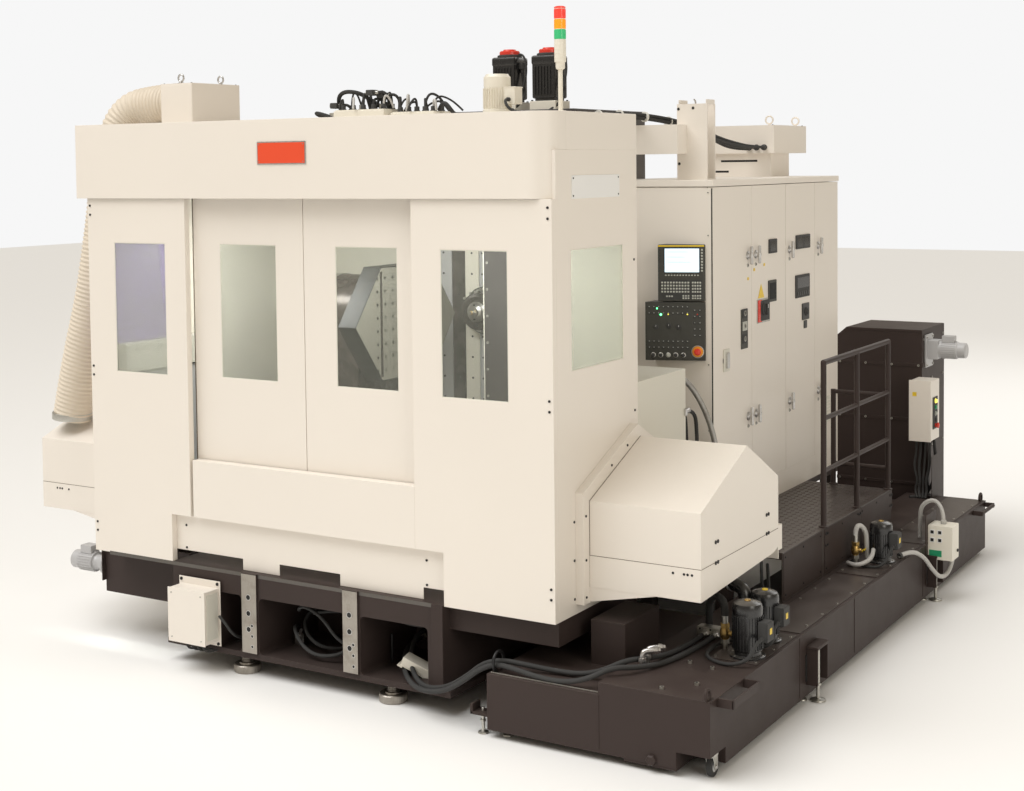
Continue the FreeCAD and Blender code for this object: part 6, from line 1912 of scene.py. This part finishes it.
# ---------------------------------------------------------------- cabinet
@dataclass
class Cabinet:
    """Electrical cabinet: shell, doors with their fittings, handles, switch and inside."""

    seams: tuple[float, ...] = (1918.0, 2511.0, 3088.0, 3629.0, 4093.0)
    handle_z: tuple[float, float] = (1245.0, 2235.0)
    handle_inset: float = 64.0

    def build(self) -> None:
        """Build the cabinet's pieces."""
        skin("cabinet_shell", plain(CREAM), Slot.CREAM)
        skin("cabinet_plinth", plain(CREAM), Slot.CREAM)
        self.doors()
        self.handles()
        self.switch()
        self.inside()
        self.side_panel()

    def handle_y(self, door: int) -> float:
        """Y of the handles of a door."""
        return self.seams[1] - self.handle_inset if door == 0 else self.seams[door] + self.handle_inset

    def doors(self) -> None:
        """Soft-edged doors with plates, seals and hinges, each on its own body."""
        for index in range(4):
            body = "cab_door_%d" % (index + 1)
            skin("cabinet_door_%d" % (index + 1), plain(CREAM), Slot.CREAM, 2.4)
            y0, y1 = self.seams[index] + 2, self.seams[index + 1] - 2
            item = Stock("door_fittings_%d" % (index + 1))
            # painted shade: strip behind the door in the darker cream copy
            item.box((-27, y0 + 14, 826), (-24, y1 - 14, 2642), CREAM_PAINTED_SHADE, 1.0)
            for z in (1010, 1750, 2480):
                hinge_y = y0 + 12 if index == 0 else y1 - 12
                item.rod((-22, hinge_y, z - 34), (-22, hinge_y, z + 34), 7, ZINC)
            self.door_plates(item, index, y0)
            item.finish(Slot.CREAM, body)

    def door_plates(self, item: Stock, index: int, y0: float) -> None:
        """Instruments, plates and tags on a door.

        Args:
            item: Piece that takes them.
            index: Door number from 0.
            y0: Low edge of the door.
        """
        if index == 0:
            item.box((-1, 2334, 1667), (5, 2438, 1910), GREY, 5.0)
            for k in range(3):
                z = 1700 + 78 * k
                item.box((4, 2350, z), (8, 2422, z + 56), BLACK if k != 1 else KEY_WHITE, 3.0)
                item.lathe((7, 2386, z + 28), RIGHT, [(17, 0), (17, 3), (11, 4), (10, 1)], ZINC, 20)
            item.lathe((-1, 2102, 1627), RIGHT, [(44, 0), (44, 4), (38, 7), (0, 7)], BLACK, 32)
            # painted shade: plate in the darker cream copy
            item.box((0, 2060, 1560), (8, 2148, 1694), CREAM_PAINTED_SHADE, 4.0)
            item.box((6, 2086, 1580), (22, 2122, 1674), STEEL, 6.0)
            item.box((0, 2440, 2082), (3, 2460, 2100), YELLOW, 0.8)
        if index == 1:
            item.box((-1, 2592, 1800), (3, 2806, 1951), ZINC, 2.0)
            item.box((2, 2604, 1806), (7, 2664, 1945), STOP_RED, 3.0)
            item.box((2, 2640, 1812), (8, 2790, 1940), BLACK, 5.0)
            item.box((-1, 2779, 1919), (8, 2912, 2057), GREY, 5.0)
            item.box((7, 2796, 1936), (10, 2896, 2040), MATT_BLACK, 2.0)
            item.box((-1, 2787, 2227), (9, 2922, 2317), BLACK, 4.0)
            item.box((8, 2802, 2242), (10, 2906, 2302), SCREEN_DARK, 1.0)
            item.prism([(2612, 1957), (2712, 1957), (2662, 2044)], "x", -0.5, 2.5, YELLOW, 0.6)
            item.box((0, 2540, 2132), (3, 2560, 2150), YELLOW, 0.8)
            item.box((0, 2705, 2153), (3, 2725, 2171), YELLOW, 0.8)
        if index == 2:
            item.box((-1, 3264, 2229), (9, 3524, 2321), BLACK, 4.0)
            for k in range(2):
                item.box((8, 3282 + 122 * k, 2243), (10, 3384 + 122 * k, 2307), SCREEN_DARK, 1.0)
            item.box((-1, 3256, 1906), (9, 3514, 2057), BLACK, 4.0)
            item.box((8, 3276, 1970), (10.5, 3494, 2042), SCREEN_DARK, 1.0)
            for k in range(6):
                item.box((8, 3280 + 37 * k, 1922), (12, 3304 + 37 * k, 1946), KEY_DARK, 2.0)
            item.box((-1, 3380, 1751), (7, 3509, 1862), KEY_DARK, 9.0)
            item.lathe((6, 3444, 1806), RIGHT, [(30, 0), (30, 4), (20, 10), (18, 16), (0, 16)], BLACK, 28)
            item.box((-1, 3414, 1694), (6, 3469, 1746), KEY_DARK, 6.0)
        if index == 3:
            # painted shade: louvre plate in the darker cream copy behind the cream slats
            item.box((-1, y0 + 160, 1000), (4, y0 + 300, 1180), CREAM_PAINTED_SHADE, 2.0)
            for k in range(7):
                item.box((3, y0 + 172, 1016 + 22 * k), (6, y0 + 288, 1024 + 22 * k), CREAM, 1.2)

    def handles(self) -> None:
        """Chrome T handles on rosettes, eight in all."""
        for index in range(4):
            y = self.handle_y(index)
            for label, z in zip(("low", "high"), self.handle_z):
                name = "handle_%s_%d" % (label, index + 1)
                item = Stock(name + "_lever")
                item.lathe((-17, y, z), RIGHT, [(14.6, 0), (14.6, 17)], STEEL, 28)
                item.lathe((0.6, y, z), RIGHT, [(26, 0), (27, 2), (25, 6), (17, 9), (13, 14), (13, 26)], STEEL, 36)
                item.lathe((26, y, z - 56), UP, [(6, 0), (10, 4), (11, 22), (9.5, 44), (13, 52), (13, 60),
                                                 (9.5, 68),
                                                       (11, 90), (10, 108), (6, 112)], STEEL, 24)
                item.lathe((22, y, z), RIGHT, [(13, 0), (12, 9), (6, 13), (0, 13.5)], STEEL, 24)
                item.finish(Slot.STEEL, name, (name,))
                base = Stock(name + "_rosette")
                base.lathe((-1.0, y, z - 62), RIGHT, [(12, 0), (12, 4), (9, 6), (0, 6)], ZINC, 24)
                base.box((3, y - 3, z - 68), (6.5, y + 3, z - 56), MATT_BLACK, 0.6)
                base.finish(Slot.STEEL, "cab_door_%d" % (index + 1))

    def switch(self) -> None:
        """Main switch: black dial with a long grip on a collar."""
        y, z = 2695.0, 1885.0
        item = Stock("main_switch_knob")
        item.lathe((8.4, y, z), RIGHT, [(42, 0), (42, 4), (36, 8), (30, 10), (28, 16), (0, 16)], BLACK, 36)
        item.box((18, y - 10, z - 36), (36, y + 10, z + 36), BLACK, 6.0)
        item.box((35, y - 3, z + 8), (37, y + 3, z + 32), WHITE, 0.8)
        item.finish(Slot.BLACK_PLASTIC, "switch", ("main_switch",))

    def inside(self) -> None:
        """Mounting plate with drive modules, breakers and wire ducts behind the doors."""
        x = -832.0
        item = Stock("cabinet_modules")
        item.box((x - 14, 1930, 880), (x - 6, 4080, 2590), ZINC, 1.5)
        for z in (1010, 1440, 1900, 2340):
            item.box((x - 8, 1960, z - 30), (x + 52, 4050, z + 30), PVC, 3.0)
        for row, z in enumerate((1090, 1520, 1980)):
            for k in range(9):
                y = 1990 + k * 226
                wide = 168 - 34 * ((k + row) % 3)
                item.box((x - 8, y, z), (x + 190 + 40 * (k % 2), y + wide, z + 300),
                         GREY if (k + row) % 2 else IVORY, 5.0)
                item.box((x + 180 + 40 * (k % 2), y + 14, z + 190),
                         (x + 194 + 40 * (k % 2), y + wide - 14, z + 270), BLACK, 3.0)
        for k in range(20):
            item.box((x - 8, 1990 + k * 36, 2400), (x + 60, 2020 + k * 36, 2480), IVORY, 2.5)
            item.box((x + 58, 1998 + k * 36, 2425), (x + 68, 2012 + k * 36, 2450), BLACK, 1.5)
        item.finish(Slot.GREY_PLASTIC)

    def side_panel(self) -> None:
        """Front side of the cabinet beside the station: panel seam, hinge line and screws."""
        item = Stock("cabinet_front_trim")
        y = 1918.0
        item.box((-893, y - 2, 812), (-10, y + 1, 2655), CREAM, 1.5)
        item.box((-9, y - 1, 812), (-3, y + 4, 2655), MATT_BLACK, 1.0)
        spots = [((x, y - 2, z), FRONT) for x in (-875, -28) for z in (840, 1230, 1620, 2380, 2630)]
        item.screws(spots, 5.0, 3.0, ZINC)
        item.finish(Slot.CREAM)


# ---------------------------------------------------------------- operator station
@dataclass
class OperatorStation:
    """Tilted operator panel and display with keys, lamps, dials and the stop button."""

    lean: float = 20.0
    corner: tuple[float, float] = (-46.0, 1905.0)
    display_z: tuple[float, float] = (1993.0, 2327.0)
    operator_z: tuple[float, float] = (1644.0, 1989.0)

    def build(self) -> None:
        """Build the station's pieces."""
        tilt = math.radians(self.lean)
        along = Vector((math.cos(tilt), math.sin(tilt), 0))
        out = Vector((math.sin(tilt), -math.cos(tilt), 0))
        place = Matrix((-along, Vector(UP), out)).transposed().to_4x4()
        place.translation = Vector((*self.corner, 0))
        self.place = place
        self.housings()
        self.display()
        self.keypad()
        self.buttons()
        self.stop()
        self.dials()

    def housings(self) -> None:
        """Dark housings with a raised rim, each standing for its node."""
        for node in ("operator_panel", "display_unit"):
            skin(node, plain(GREY), Slot.GREY_PLASTIC, 4.0)

    def key_grid(self, item: Stock, left: float, z: float, columns: int, rows: int, pitch: tuple[float, float],
                 size: tuple[float, float], finish: Finish, height: float = 4.0) -> None:
        """Block of equal keys, with its middle at a spot on the tilted face.

        Args:
            item: Piece that takes the keys.
            left: Middle of the block, from the right edge.
            z: Middle height of the block.
            columns: Keys across.
            rows: Keys up.
            pitch: Spacing across and up.
            size: Width and height of a key.
            finish: Finish of the keys.
            height: How far a key stands out.
        """
        key = Stock("key")
        key.box((-size[0] / 2, -size[1] / 2, 0), (size[0] / 2, size[1] / 2, height), finish, 1.2, steps=1)
        item.repeat(key, finish, at((left, z, 1.0)), columns, rows, *pitch)

    def display(self) -> None:
        """Screen with a bezel, soft keys and side keys."""
        z0, z1 = self.display_z
        item = Stock("display_face", self.place)
        wide = 275.0
        item.box((3, z0 + 3, -2), (wide - 3, z1 - 3, 3.4), GREY, 3.0)
        item.box((3, z1 - 12, 3), (wide - 3, z1 - 4, 4.6), YELLOW, 0.8)
        item.box((24, z1 - 168, 2.4), (wide - 34, z1 - 16, 6.2), KEY_DARK, 3.0)
        item.box((32, z1 - 162, 5.4), (wide - 42, z1 - 23, 7.4), SCREEN, 1.0)
        for k, end in enumerate((120, 96, 134)):
            item.box((wide - 60 - end, z1 - 44 - 30 * k, 7.2), (wide - 60, z1 - 42 - 30 * k, 7.6), PVC, 0.2)
        self.key_grid(item, 16, z1 - 92, 1, 8, (17, 17.5), (11, 11), KEY_WHITE)
        self.key_grid(item, wide - 14, z1 - 92, 1, 8, (17, 17.5), (11, 11), KEY_DARK)
        self.key_grid(item, wide / 2 - 4, z1 - 180, 12, 1, (17, 16), (10, 7), KEY_WHITE)
        item.finish(Slot.GREY_PLASTIC)

    def keypad(self) -> None:
        """Rows of small keys in two shades under the screen."""
        z0, _ = self.display_z
        item = Stock("display_keys", self.place)
        item.box((14, z0 + 12, 2.4), (261, z0 + 128, 4.2), KEY_DARK, 2.0)
        self.key_grid(item, 172, z0 + 84, 10, 4, (17, 18), (11, 10), KEY_WHITE, 6.0)
        self.key_grid(item, 48, z0 + 84, 4, 4, (14.5, 18), (10, 10), KEY_WHITE, 6.0)
        self.key_grid(item, 48, z0 + 26, 4, 2, (14.5, 15), (10, 9), KEY_WHITE, 6.0)
        self.key_grid(item, 206, z0 + 30, 3, 1, (15, 15), (10, 9), KEY_WHITE, 6.0)
        self.key_grid(item, 110, z0 + 26, 3, 2, (15, 14), (10, 9), KEY_WHITE, 6.0)
        item.finish(Slot.GREY_PLASTIC)

    def buttons(self) -> None:
        """Operator panel: key blocks, lit lamps and half-round push buttons."""
        z0, z1 = self.operator_z
        item = Stock("operator_face", self.place)
        item.box((4, z0 + 4, -2), (346, z1 - 4, 3.2), GREY, 3.0)
        blocks = ((214, z1 - 30, 9, 2, (28, 37)), (214, z0 + 112, 9, 2, (28, 36)), (44, z0 + 222, 2, 5, (30, 37)))
        for left, z, columns, rows, pitch in blocks:
            self.key_grid(item, left, z - (18 if rows == 2 else 0), columns, rows, pitch, (17, 14), KEY_DARK, 4.5)
            self.key_grid(item, left, z - (16 if rows == 2 else -2), columns, rows, pitch, (7, 4.5), KEY_WHITE, 5.4)
        for left, z, lamp, size in ((258, z1 - 74, LAMP_GREEN, 6.5), (280, z1 - 38, LAMP_GREEN, 4.5),
                                    (214, z1 - 72, LAMP_YELLOW, 4.0), (102, z1 - 72, LAMP_YELLOW, 4.0),
                                    (44, z1 - 72, STOP_RED, 4.0)):
            item.dome((left, z, 3.0), UP, size, 6.0, lamp)
        for k in range(5):
            left = 304 - k * 44
            item.lathe((left, z0 + 32, 2.5), UP, [(15, 0), (15, 3), (12, 5), (12, 2)], ZINC, 28)
            item.lathe((left, z0 + 32, 3.0), UP, [(11.5, 0), (11.5, 6), (9, 9), (0, 10)],
                       KEY_WHITE if k == 2 else BLACK, 28)
        item.finish(Slot.GREY_PLASTIC)

    def stop(self) -> None:
        """Stop button with its orange ring."""
        left, z = 43.0, 1697.0
        ring = Stock("stop_collar", self.place)
        ring.lathe((left, z, 0.0), UP, [(33, 0), (33, 2.6), (30, 4.2), (14, 4.2), (13, 3.8), (13, 0)], ORANGE, 44)
        ring.lathe((left, z, 2.2), UP, [(37, 0), (37, 1.6), (33, 2.4), (33, 0)], ZINC, 44)
        ring.finish(Slot.RED_PLASTIC)
        cap = Stock("stop_mushroom", self.place)
        cap.lathe((left, z, -11.0), UP, [(11.6, 0), (11.6, 23.8), (16, 23.9), (20, 26), (20.4, 31), (19, 35.5),
                                         (13, 38),
                                               (5, 38.4), (0, 37.6)], STOP_RED, 44)
        cap.finish(Slot.RED_PLASTIC, "estop", ("estop_button",))

    def dials(self) -> None:
        """Three override dials on scale plates."""
        for index, (left, z) in enumerate(((286.0, 1842.0), (211.0, 1848.0), (153.0, 1842.0))):
            scale = Stock("dial_scale_%d" % (index + 1), self.place)
            scale.lathe((left, z, -0.6), UP, [(23.5, 0), (23.5, 0.8), (22, 1.0), (0, 0.9)], KEY_WHITE, 36)
            scale.fins((-2.4, -0.5, 0), (2.4, 0.5, 0.5), MATT_BLACK, 0.1, at((left, z, 0.2)), 16, 19.5)
            scale.finish(Slot.GREY_PLASTIC)
            item = Stock("dial_knob_%d" % (index + 1), self.place)
            item.lathe((left, z, 0.5), UP, [(15, 0), (15, 2), (13.6, 4), (13, 9.5), (12, 10.5), (0, 10.5)], BLACK,
                       36)
            item.box((left - 3.4, z - 12, 9), (left + 3.4, z + 12, 16.5), BLACK, 1.8)
            item.box((left - 0.8, z + 2, 16.1), (left + 0.8, z + 11.5, 16.9), WHITE, 0.2)
            item.finish(Slot.BLACK_PLASTIC, "dial_%d" % (index + 1), ("selector_dial_%d" % (index + 1),))


# ---------------------------------------------------------------- walkway and conveyor
@dataclass
class Walkway:
    """Deck with raised tread, its skirt and the handrail."""

    tread_pitch: tuple[float, float] = (42.0, 30.0)

    def build(self) -> None:
        """Build the walkway's pieces."""
        skin("platform", plain(DECK), Slot.DARK)
        skin("handrail", plain(RAIL), Slot.DARK, 0.0)
        place = Bounds.of("platform")
        top = place.hi.z
        tread = Stock("walkway_tread")
        for low, high in ((1540, 1900), (1900, 2700), (2700, 3465)):
            mark = Stock("mark")
            mark.box((-13, -2.6, -0.5), (13, 2.6, 1.6), DECK, 1.0, steps=1)
            rows = int((high - low) / self.tread_pitch[1])
            tread.repeat(mark, DECK, at((287, (low + high) / 2, top)), 13, rows, *self.tread_pitch,
                         swing=math.pi / 2)
        tread.finish(Slot.DARK)
        item = Stock("walkway_fittings")
        for y in (2234.0, 2833.0, 3458.0):
            item.lathe((557, y, top), UP, [(29, 0), (29, 6), (20, 9), (17.5, 12)], RAIL, 28)
            item.box((558, y - 30, top - 130), (576, y + 30, top - 8), RAIL, 3.0)
            item.screws((((576, y + a, top - b), RIGHT) for a in (-16, 16) for b in (36, 104)), 8.0, 5.0,
                        BLACK_OXIDE)
        for low in (1540, 2200, 2860):
            item.box((573.4, low, 392), (577, low + 610, top - 6), DARK, 1.5)
            item.screws((((577, low + a, z), RIGHT) for a in (24, 305, 586) for z in (420, top - 30)), 6.0, 3.0)
        item.lathe((190, 3458, top), UP, [(29, 0), (29, 6), (20, 9), (17.5, 12)], RAIL, 28)
        item.finish(Slot.DARK)


@dataclass
class Conveyor:
    """Chip conveyor's housing details and its control box."""

    bands: tuple[float, ...] = (430, 900, 1300)

    def build(self) -> None:
        """Build the conveyor's pieces."""
        skin("chip_conveyor", plain(DARK), Slot.DARK, 3.0)
        place = Bounds.of("chip_conveyor")
        lo, hi = place.lo, place.hi
        item = Stock("conveyor_details")
        for z in self.bands:
            item.box((lo.x - 2, lo.y - 4, z), (hi.x + 3, lo.y + 60, z + 26), DARK, 3.0)
        item.box((hi.x - 1, lo.y + 2, 1296), (hi.x + 6, hi.y - 2, 1330), DARK, 3.0)
        item.box((lo.x + 70, lo.y - 3, 1552), (hi.x - 2, hi.y - 6, 1572), DARK, 3.0)
        item.screws((((x, lo.y - 4, z + 13), FRONT) for x in (lo.x + 24, lo.x + 220, hi.x - 220, hi.x - 24)
                     for z in self.bands), 8.0, 5.0, ZINC)
        item.screws((((hi.x, lo.y + b, z), RIGHT) for b in (40, 260, 540) for z in (200, 700, 1200, 1500)), 8.0,
                    5.0, ZINC)
        item.prism([(lo.y + 320, 760), (hi.y - 4, 760), (hi.y - 4, 800), (lo.y + 360, 1240), (lo.y + 320, 1240)],
                   "x",
                   lo.x + 70, hi.x - 70, DRUM, 2.0)
        for k in range(7):
            item.box((lo.x + 80, lo.y + 330 + 34 * k, 800 + 3 * k), (hi.x - 80, lo.y + 342 + 34 * k, 1228 - 56 * k),
                     ZINC, 2.0)
        item.box((529, 4560, 374), (533, 4790, 690), DARK, 2.0)
        item.finish(Slot.DARK)
        self.control_box()

    def control_box(self) -> None:
        """Cream control box with a button strip, glands and its cables down to the tank."""
        item = Stock("conveyor_controls")
        item.box((430, 4640, 380), (480, 4690, 801), DARK, 4.0)
        item.box((405, 4615, 380), (505, 4715, 390), DARK, 3.0)
        item.box((377, 4537, 800), (529, 4757, 1230), CREAM, 5.0)
        item.box((374, 4531, 796), (532, 4545, 1234), CREAM, 3.0)
        item.box((528.5, 4585, 880), (534, 4700, 1110), BLACK, 5.0)
        for z, finish in ((1080, LAMP_YELLOW), (1035, GREEN), (990, KEY_WHITE), (945, BLACK)):
            item.lathe((533, 4642, z), RIGHT, [(17, 0), (17, 3), (13, 5), (13, 12), (0, 12)], finish, 24)
        item.lathe((533, 4642, 905), RIGHT, [(14, 0), (14, 14), (20, 16), (20, 24), (12, 28), (0, 28)], STOP_RED,
                   28)
        item.box((400, 4531.5, 1120), (430, 4529.5, 1150), YELLOW, 0.8)
        for k, x in enumerate((405, 435, 468, 500)):
            item.rod((x, 4620, 800), (x, 4620, 776), 12, BLACK, 2.0)
            item.strand([(x, 4620, 780), (x, 4616, 700), (x - 14 + 6 * k, 4600, 600), (x + 20 - 14 * k, 4590, 500),
                         (x - 10, 4600, 430), (430 + 18 * k, 4560, 384)], 10 if k % 2 else 8, RUBBER)
        item.strand([(505, 4700, 800), (512, 4720, 700), (520, 4700, 560), (500, 4690, 470), (470, 4660, 400),
                     (440, 4600, 388),
                     (380, 4540, 388)], 11, RUBBER)
        item.finish(Slot.CREAM, replaces=("conveyor_control_box",))


def main() -> None:
    """Build the whole machine in order."""
    logging.basicConfig(level=logging.INFO, format="%(name)s: %(message)s")
    for part in (Studio(), FloorHoses(), Guard(), WorkSpace(), Base(), Tank(), RoofGear(), Cabinet(),
                 OperatorStation(), Walkway(), Conveyor()):
        LOG.info("building %s", type(part).__name__)
        part.build()


if __name__ == "__main__":
    main()
